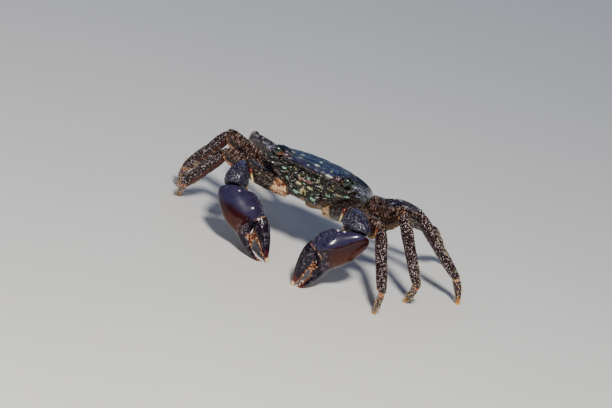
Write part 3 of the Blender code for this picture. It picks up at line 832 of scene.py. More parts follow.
def body_grid(numbers):
    """Points of the body's skin at these levels, in the body frame."""
    turn = -pi / 2 + circle(BODY_SIDES)
    along, across = np.sin(turn), np.abs(np.cos(turn))
    front, rear = np.clip(-along, 0, 1) ** 2, np.clip(along, 0, 1) ** 2
    side = 1 - front - rear
    over_eye = hill(across, cos(radians(45)), 0.1) * (along < 0)
    table = np.hstack([np.arange(len(LEVELS))[:, None], LEVELS])
    zf, zs, zr, sf, ss, sr = smooth(table, numbers).T[:, :, None]
    height = zf * front + zs * side + zr * rear
    share = sf * front + ss * side + sr * rear
    arch = fade(numbers, SPLIT + 0.3, SPLIT + 1) * fade(numbers, 9.9, 9)
    height = height + arch[:, None] * over_eye * ORBIT_RAISE
    bearing = np.abs(np.arctan2(np.cos(turn), -np.sin(turn)))
    teeth = tooth(bearing, 51, 0.13, 1.1) + tooth(bearing, 63, 0.12, 0.8)
    reach = body_outline(turn) * share + hill(numbers, 7, 0.9)[:, None] * teeth
    x, y = reach * np.cos(turn), BODY_CENTRE_Y + reach * np.sin(turn)
    return np.stack([x, y, height], axis=-1)


def hollowed(grid):
    """Presses the eye sockets into the front of a body grid."""
    for side, _ in SIDES:
        centre, reach = mirrored(ORBIT, side), np.array(ORBIT_REACH)
        away = (grid - centre) / reach
        flat = away[..., 0] ** 2 + away[..., 2] ** 2
        inside = (flat < 1) & (grid[..., 1] < centre[1] + reach[1])
        back = centre[1] + reach[1] * np.sqrt(np.clip(1 - flat, 0, 1))
        y = np.where(inside, np.maximum(grid[..., 1], back - 0.4), grid[..., 1])
        grid = np.stack([grid[..., 0], y, grid[..., 2]], axis=-1)
    return grid


def closed(grid, inward):
    """The grid with its last ring drawn in to a small one, shifted, so that its end closes."""
    ring = grid[-1]
    middle = ring.mean(0)
    rings = ((0.9, 0.7), (0.5, 1), (0.05, 1))
    return np.concatenate([grid, [middle + (ring - middle) * size + inward * drop for size, drop in rings]])


# Marks on the shell and face: their place in the body frame, their reach across the body and up it. Most
# shell marks are the shell's own pale spots; the last of SHELL_MARKS and the faint mark at the socket's
# outer rim (15.7, -13.8) are painted glints.
SHELL_MARKS = (
    (7, -15.7, -0.8, 1.15, 0.8), (0.6, -10.4, 1.9, 0.4, 0.7), (0.8, -13.3, 0.7, 0.75, 0.5),
    (-1.4, -15, -0.3, 0.35, 0.35),
)
FAINT_MARKS = (
    (6.3, -13.2, 0.9, 0.5, 0.6), (2, -15.5, -0.7, 0.7, 0.3), (4.2, -15, -0.3, 0.3, 0.9),
    (5, -15.2, -0.5, 0.25, 0.7), (-6.1, -11.1, 1.8, 0.8, 0.8), (-5.6, -13.3, 0.9, 0.6, 0.5),
    (-8.2, -15.6, -0.8, 0.8, 0.35), (-9, -12.7, 1.4, 0.8, 0.6), (9.7, -8.7, 2.3, 0.6, 1.2),
    (15.7, -13.8, -0.3, 0.5, 0.6), (-3, -3, 3, 0.7, 0.5), (4.5, 2.5, 2.9, 0.6, 0.6),
    (-9.5, 0.5, 2.2, 0.6, 0.8), (9.5, 4.5, 1.9, 0.8, 0.5), (-5, 8, 1.8, 0.6, 0.6),
    (2.5, 10.5, 1, 0.7, 0.4),
)
FAINTNESS = 0.32
MINT_MARKS = (
    (-7.3, -12.9, -6.8, 0.8, 0.6), (8.4, -12.7, -6.9, 1.1, 0.55), (0.3, -14, -4.4, 0.5, 0.5),
    (-9.2, -14, -4.5, 1.3, 0.35), (14.6, -13.4, -4.4, 1.4, 0.35),
)
PALE_MARKS = (
    (-5.7, -14.6, -3.2, 0.8, 0.6), (5.7, -14.5, -3.4, 0.7, 0.5), (3.6, -14.2, -3.9, 0.5, 0.6),
    (-3.2, -14.1, -4.3, 0.4, 0.6), (-7.8, -13.8, -5.1, 0.4, 0.35), (9.2, -13.9, -4.6, 1.9, 0.25),
    (11.8, -13.3, -5.2, 1.2, 0.2), (5.2, -13.8, -5.2, 0.5, 0.3), (9.4, -14.8, -3, 0.4, 0.4),
)


def marked(points, marks, salt):
    """1 inside any of these ragged ovals and 0 outside."""
    total = np.zeros(points.shape[:-1])
    ragged = 0.25 * rolling(points, 0.8, salt)
    for x, y, z, across, up in marks:
        away = points - (x, y, z)
        far = np.hypot(away[..., 0] / across, np.hypot(away[..., 1], away[..., 2]) / up)
        total = np.maximum(total, fade(far + ragged, 1.3, 0.75))
    return total


def carapace(finish):
    """The shell: granules, cross lines, two grooves, a soft swelling and lumps under the front edge."""
    crown = body_grid(np.concatenate([np.linspace(12, 9, 50), np.linspace(8.97, SPLIT, 90)]))
    crown = closed(hollowed(crown), np.array((0, 0, 1)))
    x, y, z = columns(crown)
    wide = np.abs(x)
    relief = 0.05 * granules(crown, 0.55, 3) * fade(z, -3.2, 0.5)
    wave = y + 0.35 * rolling(crown, 3.5, 7) + 0.03 * x**2 * fade(y, -4, -12)
    oblique = (y * 0.75 - wide * 0.55) + 0.3 * rolling(crown, 3, 8)
    lateral = fade(wide, 7, 10.5)
    strip = (1 - lateral) * ripple(wave, 2.3) + lateral * ripple(oblique, 1.7)
    relief += 0.16 * (fade(strip, 0.35, 0) - 0.3) * fade(z, -1.2, 0.6) * fade(y, 13.5, 9)
    groove = hill(np.abs(wide - 5.2 - 0.12 * (y + 2) ** 2 / 4), 0, 0.8) * hill(y, 0.5, 4)
    relief -= 0.35 * groove * fade(z, 0.5, 2)
    relief += 0.45 * hill(np.hypot(x / 4.2, (y + 9) / 3), 0, 0.9) * 0.6
    relief += 0.25 * rolling(crown, 6, 2) * fade(z, 0, 1.5)
    lumps = granules(crown, 0.7, 9) + rolling(crown, 0.8, 10)
    relief += 0.14 * lumps * fade(z, -1.5, -1.8) * fade(y, -11, -13)
    # pale: the shell's own pale spots, with a few painted glints among them
    pale = np.maximum(marked(crown, SHELL_MARKS, 71), FAINTNESS * marked(crown, FAINT_MARKS, 71))
    relief += 0.06 * pale
    skin("carapace", posed(crown), crown, finish, "shell", relief, pale=pale)


def underside(finish):
    """The belly and face: lumps, a bar over the mouth, ridges beside it and lines on the cheeks."""
    belly = body_grid(np.concatenate([np.linspace(0, 1, 8), np.linspace(1.03, SPLIT, 110)]))
    middle = belly[0].mean(0)
    bottom = np.stack([middle + (belly[0] - middle) * size for size in (0.03, 0.5)])
    belly = closed(np.concatenate([bottom, belly]), np.array((0, 0, 0.6)))
    x, y, z = columns(belly)
    wide = np.abs(x)
    face = fade(y, -8, -11) * fade(z, -11.5, -10)
    lumps = rolling(belly * (0.6, 1, 1), 0.9, 25)
    relief = face * (0.2 * granules(belly, 1.25, 21) + 0.14 * granules(belly, 0.6, 22) + 0.2 * lumps - 0.2)
    bar = hill(z, -5.45, 0.42) * fade(np.abs(x + 0.4), 4.6, 3.6)
    relief += 0.55 * face * bar
    relief -= 0.8 * face * hill(z, -3.4, 0.7) * fade(wide, 9, 7.5) * (0.6 + 0.4 * lumps)
    relief += 0.5 * face * hill(wide - 7 - 0.1 * (z + 8), 0, 0.45) * fade(z, -4.5, -5.5)
    mint, pale = marked(belly, MINT_MARKS, 72), marked(belly, PALE_MARKS, 73)
    relief += 0.35 * mint + 0.25 * pale
    ridge_line = z + 4.75 - 0.08 * (wide - 11)
    relief += 0.4 * face * hill(ridge_line, 0, 0.22) * fade(wide, 8, 9)
    stripes = ripple(z + 0.25 * rolling(belly, 2.5, 24), 0.95)
    relief += 0.14 * fade(wide, 10, 13) * (fade(stripes, 0.5, 0) - 0.3)
    relief += 0.08 * granules(belly, 0.9, 23)
    pink = bar * (bar > 0.35) * fade(np.abs(x + 0.6), 2.9, 2.1)
    skin("underside", posed(belly), belly, finish, "underside", relief, mint=mint, pale=pale, pink=pink)


def ball_grid(centre, reach, rows, sides, lean=0, power=1):
    """Points of an egg or, with a low power, a rounded block, that leans back by these degrees."""
    tilt = radians(lean)
    turn = circle(sides)
    latitude = pi * ((np.arange(rows) + 0.5) / rows - 0.5)
    flat = squared(np.cos(latitude), power)[:, None]
    x = reach[0] * flat * squared(np.cos(turn), power)
    y = reach[1] * flat * squared(np.sin(turn), power)
    z = reach[2] * squared(np.sin(latitude), power)[:, None] + 0 * x
    ball = np.stack([x, y * cos(tilt) - z * sin(tilt), y * sin(tilt) + z * cos(tilt)], -1)
    return ball + np.asarray(centre, float), np.stack([x, y, z], -1)


def maxillipeds(finish):
    """The outer mouthparts: rounded plates, each with a groove across and one down its inner part."""
    for side, mark in SIDES:
        grid, local = ball_grid(mirrored(MAXILLIPED, side), MAXILLIPED_HALF, 70, 96, MAXILLIPED_LEAN, 0.6)
        x, y, z = columns(local)
        out = OUT[side]
        relief = 0.14 * granules(local, 0.8, 31) + 0.12 * rolling(local, 0.7, 32)
        mint = marked(local, ((1, -1.3, -0.45, 1.2, 0.75),), 74)
        pale = marked(local, ((out * -2.7, -0.55, 0.4, 0.6, 1.1), (out * -1.3, -0.9, 2.7, 1.2, 0.35)), 75)
        relief = relief + 0.2 * mint + 0.15 * pale
        relief -= 0.5 * hill(z - 0.25 * x * out, 0.3, 0.22) * (y < 0)
        relief -= 0.35 * hill(x * out - 0.3 - 0.1 * z, 0, 0.25) * (y < 0) * fade(z, 0.6, -0.4)
        skin("maxilliped_" + mark, posed(grid), local, finish, "mouth", relief, mint=mint, pale=pale)


def extra_ball(name, side, centre, reach, power, finish, salt, rise=0.05, size=0.4, rows=30, sides=40):
    """A small lumpy part that only the scene has."""
    grid, local = ball_grid(mirrored(centre, side), reach, rows, sides, 0, power)
    skin(name, posed(grid), local, finish, "mouth", rise * granules(local, size, salt), extra=True)


def eyes(eye_finish, stalk_finish, cup_finish):
    """The eyes, their stalks and the skin that holds them from the inner side and below."""
    cup = EYE + np.array(CUP_SHIFT)
    for side, mark in SIDES:
        grid, local = ball_grid(mirrored(EYE, side), EYE_RADII, 60, 80)
        x, _, z = columns(local)
        relief = 0.12 + 0.03 * hill(z, -0.9, 0.3)
        relief += 0.14 * z**2 - 0.1 * x**2
        tone = fade(-0.6 * OUT[side] * x - 0.9 * z, 1.05, 1.45)
        skin("eye_" + mark, posed(grid), local, eye_finish, "eye", relief, tone=tone)
        start, end = (mirrored(point, side) for point in STALK)
        start = start - unit(end - start) * STALK_ROOT
        rod_piece("eyestalk_" + mark, start, end, STALK_RADII, stalk_finish)
        extra_ball("eye_cup_" + mark, side, cup, CUP_RADII, 1, cup_finish, 41, rows=40, sides=60)


ROD_ROWS, ROD_SIDES, ROD_BEADS = 60, 24, 14


def rod_piece(name, start, end, radii, finish, beads=0):
    """A tapered rod with round ends, whose radius swells by the share beads in rings along it."""
    start, end = np.asarray(start, float), np.asarray(end, float)
    along = unit(end - start)
    across = unit(np.cross(along, (0, 0, 1)))
    over = np.cross(across, along)
    t = np.linspace(0, 1, ROD_ROWS)
    length = np.linalg.norm(end - start)
    radius = radii[0] + (radii[1] - radii[0]) * t
    radius = radius * np.sqrt(np.clip(np.minimum(t, 1 - t) * length / radii[1], 0.01, 1))
    radius = radius * (1 + beads * np.abs(np.sin(t * pi * ROD_BEADS)))
    turn = circle(ROD_SIDES)
    ring = np.outer(np.cos(turn), across) + np.outer(np.sin(turn), over)
    grid = start + along * (t * length)[:, None, None] + ring * radius[:, None, None]
    skin(name, posed(grid), grid - start, finish, "mouth")


def feelers(finish):
    """The antennae with their feet, and the inner antennae between them."""
    for side, mark in SIDES:
        start, end = (mirrored(point, side) for point in ANTENNA)
        rod_piece("antenna_" + mark, start, end, ANTENNA_RADII, finish, 0.12)
        extra_ball("antennule_" + mark, side, ANTENNULE, (1.5, 0.9, 0.75), 1, finish, 51, 0.06, 0.5)
        extra_ball("antenna_foot_" + mark, side, ANTENNA_FOOT, (1.3, 0.9, 0.9), 0.8, finish, 52, 0.08, 0.6)


ABDOMEN_ROWS, ABDOMEN_SIDES = 120, 64
ABDOMEN_STEP = 3.2  # from one seam to the next


def abdomen(finish):
    """The tucked abdomen, with a seam between each two of its plates."""
    rows = np.array([(-y, z, w, t) for y, z, w, t in ABDOMEN])
    places = np.linspace(rows[0, 0], rows[-1, 0], ABDOMEN_ROWS)
    z, wide, thick = smooth(rows, places).T
    turn = circle(ABDOMEN_SIDES)
    row = np.arange(ABDOMEN_ROWS)
    size = np.sqrt(np.clip(np.minimum(row, row[::-1]) / 6, 0.02, 1))
    x = (wide * size)[:, None] * np.cos(turn)
    drop = z[:, None] + (thick * size)[:, None] * np.sin(turn)
    grid = np.stack([x, -places[:, None] + 0 * x, drop], -1)
    seam = ripple(places + ABDOMEN[0][0], ABDOMEN_STEP)[:, None]
    relief = -0.25 * fade(seam, 0.25, 0) + 0.05 * granules(grid, 0.8, 61)
    skin("abdomen", posed(grid), grid, finish, "underside", relief)


# ---- limbs

# How a segment's ends turn in: millimetres along it, and the share of its width there. The near end
# is a narrow neck that reaches into the socket at the far end of the segment before.
NECK = ((-1, 0.03), (-0.95, 0.3), (-0.75, 0.52), (-0.3, 0.6), (-0.02, 0.64), (-0.02, 0.8), (0.06, 0.93))
RIM = ((0, 0.97), (0.04, 0.9), (-0.08, 0.82), (-0.5, 0.78), (-0.85, 0.6), (-0.95, 0.03))


def segment(start, end, profile, broad, before, after, rows, sides, power=1):
    """Points, local coordinates, share along, neck and turn of a limb's segment, with mitred ends."""
    start, end = np.asarray(start, float), np.asarray(end, float)
    length = np.linalg.norm(end - start)
    along = unit(end - start)
    wide = unit(broad - (broad @ along) * along)
    thick = np.cross(along, wide)
    near = unit(along + (along if before is None else before))
    far = unit(along + (along if after is None else after))
    middle = np.linspace(0.012, 0.988, rows)
    push = np.concatenate([[p for p, _ in NECK], 0 * middle, [p for p, _ in RIM]])
    scale = np.concatenate([[s for _, s in NECK], 0 * middle + 1, [s for _, s in RIM]])
    share = np.concatenate([np.zeros(len(NECK)), middle, np.ones(len(RIM))])
    half_wide, half_thick, bow = smooth(profile, share).T
    turn = circle(sides)
    y = (scale * half_wide)[:, None] * squared(np.cos(turn), power) + bow[:, None]
    z = (scale * half_thick)[:, None] * squared(np.sin(turn), power)
    offset = y[..., None] * wide + z[..., None] * thick
    first = (GAP / 2 - offset @ near) / (along @ near)
    last = length - (GAP / 2 + offset @ far) / (along @ far)
    x = first + (last - first) * share[:, None] + push[:, None]
    grid = start + offset + x[..., None] * along
    neck = np.repeat((np.arange(len(share)) < len(NECK) - 1)[:, None], sides, 1)
    return grid, np.stack([x, y, z], -1), np.repeat(share[:, None], sides, 1), neck.astype(float), turn


def merus_relief(local, share, turn, salt):
    """Cross lines on the upper side, a toothed upper edge, a groove and teeth at the lower far end."""
    x, y, _ = columns(local)
    wave = x + 0.3 * rolling(local + salt, 1.1, salt)
    relief = 0.13 * fade(ripple(wave, 0.9), 0.55, 0) * fade(y, 0, 1.6)
    relief += 0.08 * granules(local + salt, 0.6, salt + 1, 0.7)
    relief += 0.3 * hill(np.cos(turn), 1, 0.02) * ripple(x, 0.9) * fade(share, 0.05, 0.2)
    relief -= 0.16 * hill(y, -1, 0.5) * plateau(share, 0, 0.2, 0.8, 1)
    lower = hill(np.cos(turn), -1, 0.06) * plateau(share, 0.78, 0.86, 0.97, 1)
    return relief + 0.5 * lower * ripple(x, 1.1)


def shank_relief(local, share, turn, salt):
    """Three ridges along the segment, granules and a toothed upper edge."""
    x, y, _ = columns(local)
    ridges = hill(y / 2, 0.42, 0.16) + 0.8 * hill(y / 2, -0.1, 0.16) + 0.7 * hill(y / 2, -0.62, 0.14)
    relief = 0.14 * ridges * plateau(share, 0, 0.12, 0.9, 1)
    relief += 0.1 * granules(local + salt, 0.55, salt + 2, 0.85) * fade(y, -1.4, -0.4)
    edge = hill(np.cos(turn), 1, 0.03) * plateau(share, 0.05, 0.15, 0.9, 1)
    relief += 0.24 * edge * np.abs(np.sin(x * pi / 1.05 + salt))
    return relief + 0.03 * rolling(local + salt, 1.2, salt)


def dactyl_relief(local, share, turn, salt):
    flutes = np.cos(turn * 6) * plateau(share, 0.05, 0.2, 0.8, 0.95)
    return 0.07 * flutes + 0.06 * granules(local + salt, 0.45, salt + 3, 0.8)


def plain_relief(local, share, turn, salt):
    return 0.12 * granules(local + salt, 0.9, salt + 4) + 0.1 * rolling(local + salt, 1.6, salt)


def end_tone(local, neck, length):
    """1 on the pale skin at a segment's two joints, most of all on its inner edge, and 0 elsewhere."""
    inner = fade(local[..., 1], 0.6, -0.6)
    far = fade(local[..., 0], length - 1.5, length - 0.5) * inner
    near = fade(local[..., 0], 0.9, 0.1) * inner * 0.16
    return np.clip(neck + far + near, 0, 1)


# Where the upper legs of the part are too straight: how far to shift them, and at what share along
BOW = {
    ("left", 3): (-1.2, 0.62),
    ("left", 4): (1.4, 0.62),
    ("right", 4): (-1.3, 1),
    ("right", 5): (-1.3, 1),
}
# The rear legs leave the body beside the shell's edge: how much higher than the part's own hips
HIP_LIFT = {("left", 5): 2.8, ("left", 4): 2.2, ("right", 5): 2, ("right", 4): 3}


def leg_joints(side, pair):
    """The ends of a leg's segments, from its root to the tip of its foot on the floor."""
    merus, carpus, propodus, dactyl, _ = LEG_SIZES[pair]
    merus_heading, shank_heading, shank_dip, dactyl_heading, dactyl_dip = STANCE[side, pair]
    root, hip = (posed(mirrored(point, side)) for point in LEG_ROOTS[pair])
    shank = heading_vector(side, shank_heading, -shank_dip)
    foot = heading_vector(side, dactyl_heading, -dactyl_dip)
    drop = -(carpus + propodus) * shank[2] - dactyl * foot[2]
    rise = degrees(asin((drop - hip[2]) / merus))
    knee = hip + merus * heading_vector(side, merus_heading, rise)
    ankle = knee + (carpus + propodus) * shank
    return root, hip, knee, knee + carpus * shank, ankle, ankle + dactyl * foot


def walking_leg(side, mark, pair, looks):
    """The skins of a leg, and the points, normals and shares along of each, with the segments' ways."""
    joints = leg_joints(side, pair)
    ways = [unit(b - a) for a, b in zip(joints, joints[1:])]
    half_width = LEG_SIZES[pair][4]
    knee_back, ankle_back = ways[1] - ways[2], ways[3] - ways[4]
    merus = [(s, w * half_width, t, b) for s, w, t, b in MERUS_PROFILE]
    rows = (
        (BASE_PROFILE, knee_back, None, ways[1], plain_relief, 30, 48, 1),
        (merus, knee_back, ways[0], ways[2], merus_relief, 130, 72, 0.95),
        (CARPUS_PROFILE, knee_back, ways[1], None, shank_relief, 60, 64, 0.85),
        (PROPODUS_PROFILE, knee_back, None, ways[4], shank_relief, 90, 64, 0.85),
        (DACTYL_PROFILE, ankle_back, ways[3], None, dactyl_relief, 70, 48, 0.95),
    )
    lift = HIP_LIFT.get((side, pair), 0)
    bow, middle = BOW.get((side, pair), (0, 0.5))
    made = {}
    for k, (profile, broad, before, after, shape, count, sides, power) in enumerate(rows):
        part = LEG_PARTS[k]
        end = joints[k + 1] + (ways[4] * TIP_OVERRUN if part == "dactyl" else 0)
        grid, local, share, neck, turn = segment(
            joints[k], end, profile, broad, before, after, count, sides, power
        )
        salt = pair * 7 + k + (50 if side == "left" else 0)
        relief = shape(local, share, turn, salt) * (1 - neck) * (share < 1)
        tone = end_tone(local, neck, np.linalg.norm(end - joints[k]))
        if part == "base":
            grid[..., 2] += lift * fade(share, 0.1, 1)
        elif part == "merus":
            grid[..., 2] += lift * fade(share, 0.95, 0)
            grid[..., 2] += bow * hill(share, middle, 0.25)
            relief -= 0.6 * fade(share, 0.9, 1) * np.clip(np.cos(turn), 0, 1) * (1 - neck)
            if pair > 3:
                tone *= plateau(share, 0.2, 0.4, 0.7, 0.9)
            elif side == "right":
                low = fade(local[..., 1] + 0.4 * rolling(local, 1.2, salt), -0.7, -1.3)
                tone = np.maximum(tone, 0.85 * low * fade(share, 0.8, 0.9))
        elif part == "carpus":
            relief += 0.22 * hill(share, 1, 0.12)
            tone *= fade(share, 0.6, 0.4) * (pair < 4)
        elif part == "propodus":
            relief += 0.2 * hill(share, 0, 0.08) * (1 - neck)
            tone *= fade(share, 0.4, 0.6)
        else:
            tone = np.clip(neck + 0.7 * fade(local[..., 0], 1.4, 0.3), 0, 1)
        name = "_".join(("leg", mark + str(pair), part))
        slot = "foot" if part == "dactyl" else "leg"
        # Where the rear thighs' upper edges get a painted sky reflection.
        sheen = (pair > 3) * fade(local[..., 1], 1.6, 2.8) * fade(share, 0.2, 0.5)
        skin(name, grid, local, looks[part], slot, relief, tone=tone, sheen=sheen)
        made[part] = (grid, outward(grid), share)
    return made, ways


# ---- claws

PALM_FIRST_TOOTH, PALM_LAST_TOOTH = 0.60, 0.97
FINGER_FIRST_TOOTH, FINGER_LAST_TOOTH = 0.62, 0.98
# How far round from the teeth the pale edge of the fixed finger shows
PALE_EDGE = {"left": 0.8, "right": 1.3}
# How far the skin fills the top of the gap between the fingers, and how much slimmer their ends are
CLAW_GAPS = {"left": (1.6, 0.1), "right": (1.4, 0.6)}
# The white knobs of a claw's joints, whose white is partly their own pale colour and partly painted glint
# of the wet joints: how far along the claw, towards the moving finger, through it, size
KNOBS = {
    "left": ((3, 3.9, -2.2, 0.42), (4.6, 5.3, -1, 0.5), (13.9, 3.4, -2.9, 0.55), (13.9, 3.4, 2.9, 0.55)),
    "right": ((3, 0.9, 3.5, 0.36), (14.1, 3.2, 2.9, 0.55), (14.1, 3.2, -2.9, 0.55)),
}
# The thorn's root and its aim: share along the merus, degrees round it and height over its skin
THORN_ENDS = ((0.95, 303, 0.4), (0.86, 222, 0.9))
THORN_RADIUS, THORN_STRETCH = 0.7, 1.15


def claw_joints(side):
    """The root, elbow, wrist and tip of a claw leg, with the tip on the floor."""
    merus, carpus = CLAW_SIZES
    merus_heading, merus_rise, carpus_heading, carpus_rise, claw_heading = CLAW_STANCE[side][:5]
    hip = posed(mirrored(CLAW_HIP, side))
    way = heading_vector(side, merus_heading, merus_rise)
    elbow = hip + merus * way
    wrist = elbow + carpus * heading_vector(side, carpus_heading, carpus_rise)
    dip = degrees(asin(wrist[2] / CHELA_LENGTH))
    tip = wrist + CHELA_LENGTH * heading_vector(side, claw_heading, -dip)
    return hip - CLAW_BASE * way, elbow, wrist, tip


def claw_grid(wrist, tip, profile, across, bow, before, rows, sides):
    """Points, local coordinates, share along and turn of a palm, or of a finger, which has no before."""
    along = unit(tip - wrist)
    thick = np.cross(along, across)
    near = along if before is None else unit(along + before)
    first, last = profile[0][0], profile[-1][0]
    share = first + (last - first) * np.linspace(0, 1, rows)
    low, high, half_thick = smooth(profile, share).T
    ends = np.minimum(share - first, last - share) * CHELA_LENGTH
    size = np.sqrt(np.clip(ends / 0.9, 0.0025, 1)) ** 0.8
    turn = circle(sides)
    middle = (low + high) / 2 + bow * np.sin(pi * np.minimum(share, 1))
    y = middle[:, None] + (size * (high - low) / 2)[:, None] * np.cos(turn)
    z = (size * half_thick)[:, None] * np.sin(turn)
    offset = y[..., None] * across + z[..., None] * thick
    mitre = (GAP / 2 - offset @ near) / (along @ near) * np.maximum(0, 1 - share / WRIST_SHARE)[:, None]
    x = mitre + CHELA_LENGTH * share[:, None]
    grid = wrist + offset + x[..., None] * along
    return grid, np.stack([x, y, z], -1), np.repeat(share[:, None], sides, 1), turn


def cutting_edge(share, turn, facing, first, last, salt, reach=0.8):
    """Relief of a row of blunt teeth along the edge of a finger that faces the other one.

    Also how much of the pale edge shows, as far round from the teeth as reach.
    """
    edge = np.clip(np.cos(turn) * facing, 0, 1) ** 6
    x = (share - first) / (last - first)
    size = 0.35 + 0.25 * np.sin(x * 9 + salt) + 0.2 * hill(x, 0.25, 0.12)
    teeth = np.abs(np.sin(x * pi * 8 + 0.8 * np.sin(x * 7)))
    around = np.abs((turn + pi) % (2 * pi) - pi)
    if facing < 0:
        around = pi - around
    painted = fade(around, reach, reach - 0.3) * fade(x, -0.05, 0.1)
    return edge * size * teeth * plateau(x, 0, 0.1, 0.92, 1), painted


def thorn(name, grid, share, sign, finish):
    """The spine on the inner corner of a claw leg's merus, red with a yellow-white point."""
    normal = outward(grid)
    ends = []
    for along, turn, lift in THORN_ENDS:
        row = int(np.argmin(np.abs(share[:, 0] - along)))
        column = round(sign * turn / 360 * grid.shape[1]) % grid.shape[1]
        ends.append(grid[row, column] + lift * normal[row, column])
    way = ends[1] - ends[0]
    length = np.linalg.norm(way) * THORN_STRETCH
    spikes(name, [(ends[0], unit(way), length, (0.5, 0.95))], THORN_RADIUS, 0, 8, 16, finish)


def claw_leg(side, mark, looks):
    """A claw leg: merus with its thorn, carpus, palm with the fixed finger, moving finger and knobs."""
    root, elbow, wrist, tip = claw_joints(side)
    ways = [unit(elbow - root), unit(wrist - elbow), unit(tip - wrist)]
    name = "claw_" + mark + "_"
    salt = 90 if side == "left" else 95
    upright = np.array((0, 0, 1))

    grid, local, share, neck, _ = segment(
        root, elbow, CLAW_MERUS_PROFILE, upright, None, ways[1], 90, 72
    )
    relief = 0.12 * granules(local, 0.7, salt) * (share < 1) * (1 - neck)
    near = fade(local[..., 0] + 0.8 * rolling(local, 1.6, salt + 6), CLAW_BASE + 2, CLAW_BASE + 1)
    tone = np.clip(neck + near + fade(local[..., 1], -1.8, -2.4) * 0.12, 0, 1)
    brown = 0 * share + 1
    skin(name + "merus", grid, local, looks["knuckle"], "claw", relief, tone=tone, brown=brown)
    thorn(name + "thorn", grid, share, -OUT[side], looks["thorn"])

    grid, local, share, neck, turn = segment(
        elbow, wrist, CLAW_CARPUS_PROFILE, ways[1] - ways[2], ways[0], ways[2], 100, 96
    )
    relief = 0.13 * granules(local, 0.75, salt + 1, 0.9) * (share < 1) * (1 - neck)
    inner = hill(np.cos(turn), -1, 0.1) * hill(share, 0.72, 0.1)
    relief += 1.2 * inner**2
    tone = np.clip(neck + 0.6 * fade(inner, 0.3, 0.6), 0, 1)
    skin(name + "carpus", grid, local, looks["knuckle"], "claw", relief, tone=tone, brown=0 * share)

    level = unit(np.cross((0, 0, 1), ways[2]))
    roll, bow = CLAW_STANCE[side][5:]
    across = turned(np.cross(ways[2], level), ways[2], roll)
    gum, slim = CLAW_GAPS[side]
    finish = looks["palm_" + mark]
    grid, local, share, turn = claw_grid(wrist, tip, PALM_PROFILE, across, bow, ways[1], 220, 128)
    x, y, z = columns(local)
    upper = fade(y, 3.4, 5.6) * fade(share, 0.5, 0.42)
    striae = fade(np.abs(np.sin(x * pi / 0.62 + rolling(local, 2, 5))), 0.6, 0)
    relief = 0.1 * upper * striae + 0.12 * upper * granules(local, 0.55, salt + 2)
    shoulder = np.hypot((x - 10.4) / 2.8, (y - 3.9) / 2.4)
    relief += 0.8 * np.exp(-(shoulder**2)) * fade(np.abs(z), 1.5, 3)
    relief += 0.02 * rolling(local, 3, salt) - 0.25 * hill(y, -1.4, 0.5) * fade(share, 0.45, 0.6)
    teeth, tone = cutting_edge(share, turn, 1, PALM_FIRST_TOOTH, PALM_LAST_TOOTH, 0.3, PALE_EDGE[side])
    tone = np.clip(tone + 0.8 * hill(share, 0.503, 0.014) * fade(y, 1.5, 2.6), 0, 1)
    inner = np.clip(np.cos(turn), 0, 1)
    relief += gum * inner**2 * hill(share, 0.64, 0.1) * fade(share, 0.5, 0.58)
    relief -= slim * inner * plateau(share, 0.7, 0.82, 0.9, 0.98)
    skin(name + "palm", grid, local, finish, "claw", relief + teeth, tone=tone)

    grid, local, share, turn = claw_grid(wrist, tip, FINGER_PROFILE, across, bow, None, 150, 96)
    z = local[..., 2]
    teeth, tone = cutting_edge(share, turn, -1, FINGER_FIRST_TOOTH, FINGER_LAST_TOOTH, 1.4)
    relief = 0.08 * granules(local, 0.6, salt + 3, 0.8) * fade(share, 0.9, 0.8)
    relief -= 0.22 * (hill(z, 1.1, 0.4) + hill(z, -1.1, 0.4)) * fade(share, 0.55, 0.65)
    inner = np.clip(-np.cos(turn), 0, 1)
    relief += 0.6 * gum * inner**2 * hill(share, 0.62, 0.08)
    relief -= slim * inner * plateau(share, 0.66, 0.82, 0.94, 1)
    tone = np.clip(tone + 0.7 * hill(share, 0.5, 0.009) * fade(np.abs(z), 1, 2), 0, 1)
    skin(name + "finger", grid, local, finish, "claw", relief + teeth, tone=tone)

    through = np.cross(ways[2], across)
    for k, (x, y, z, size) in enumerate(KNOBS[side]):
        grid, local = ball_grid((0, 0, 0), (size, size, size * 0.8), 20, 28)
        place = wrist + ways[2] * x + across * y + through * z
        skin(name + "knob_" + str(k), grid + place, local, looks["knob"], "claw", extra=True)


# ---- bristles and spines

# Part, bristles, share along from and to, turn from the upper edge and its spread, shortest and longest
BRISTLE_ZONES = (
    ("merus", 10, 0.25, 0.98, 180, 16, 0.8, 2.4),
    ("merus", 10, 0.2, 0.98, 0, 12, 0.6, 1.8),
    ("carpus", 8, 0.1, 0.95, 0, 20, 1, 4),
    ("propodus", 16, 0.08, 0.98, 0, 24, 0.8, 2.4),
    ("propodus", 7, 0.15, 0.98, 0, 16, 2.6, 4.8),
    ("propodus", 10, 0.2, 0.98, 180, 16, 0.8, 2.2),
    ("propodus", 3, 0.3, 0.98, 180, 10, 2.4, 4),
    ("dactyl", 10, 0.08, 0.85, 0, 20, 0.8, 2.8),
    ("dactyl", 10, 0.08, 0.85, 180, 20, 0.8, 2.8),
)
# Part, share along from and to, turns of its rows from the upper edge, and spines to a row
SPINE_ROWS = (
    ("dactyl", 0.2, 0.95, (0, 75, 180, 285), 5),
    ("propodus", 0.6, 0.98, (180, 160), 3),
    ("merus", 0.84, 0.98, (180, 165), 3),
)
BRISTLE_RADIUS, BRISTLE_DROOP = 0.065, 0.12
SPINE_RADIUS, SPINE_LENGTH = 0.17, 0.95
# How far they lean along the leg, how deep in the skin they start, and how far bristles stray
BRISTLE_LEAN, BRISTLE_ROOT, BRISTLE_STRAY = 0.55, 0.05, 0.22
SPINE_LEAN, SPINE_ROOT = 0.9, 0.08


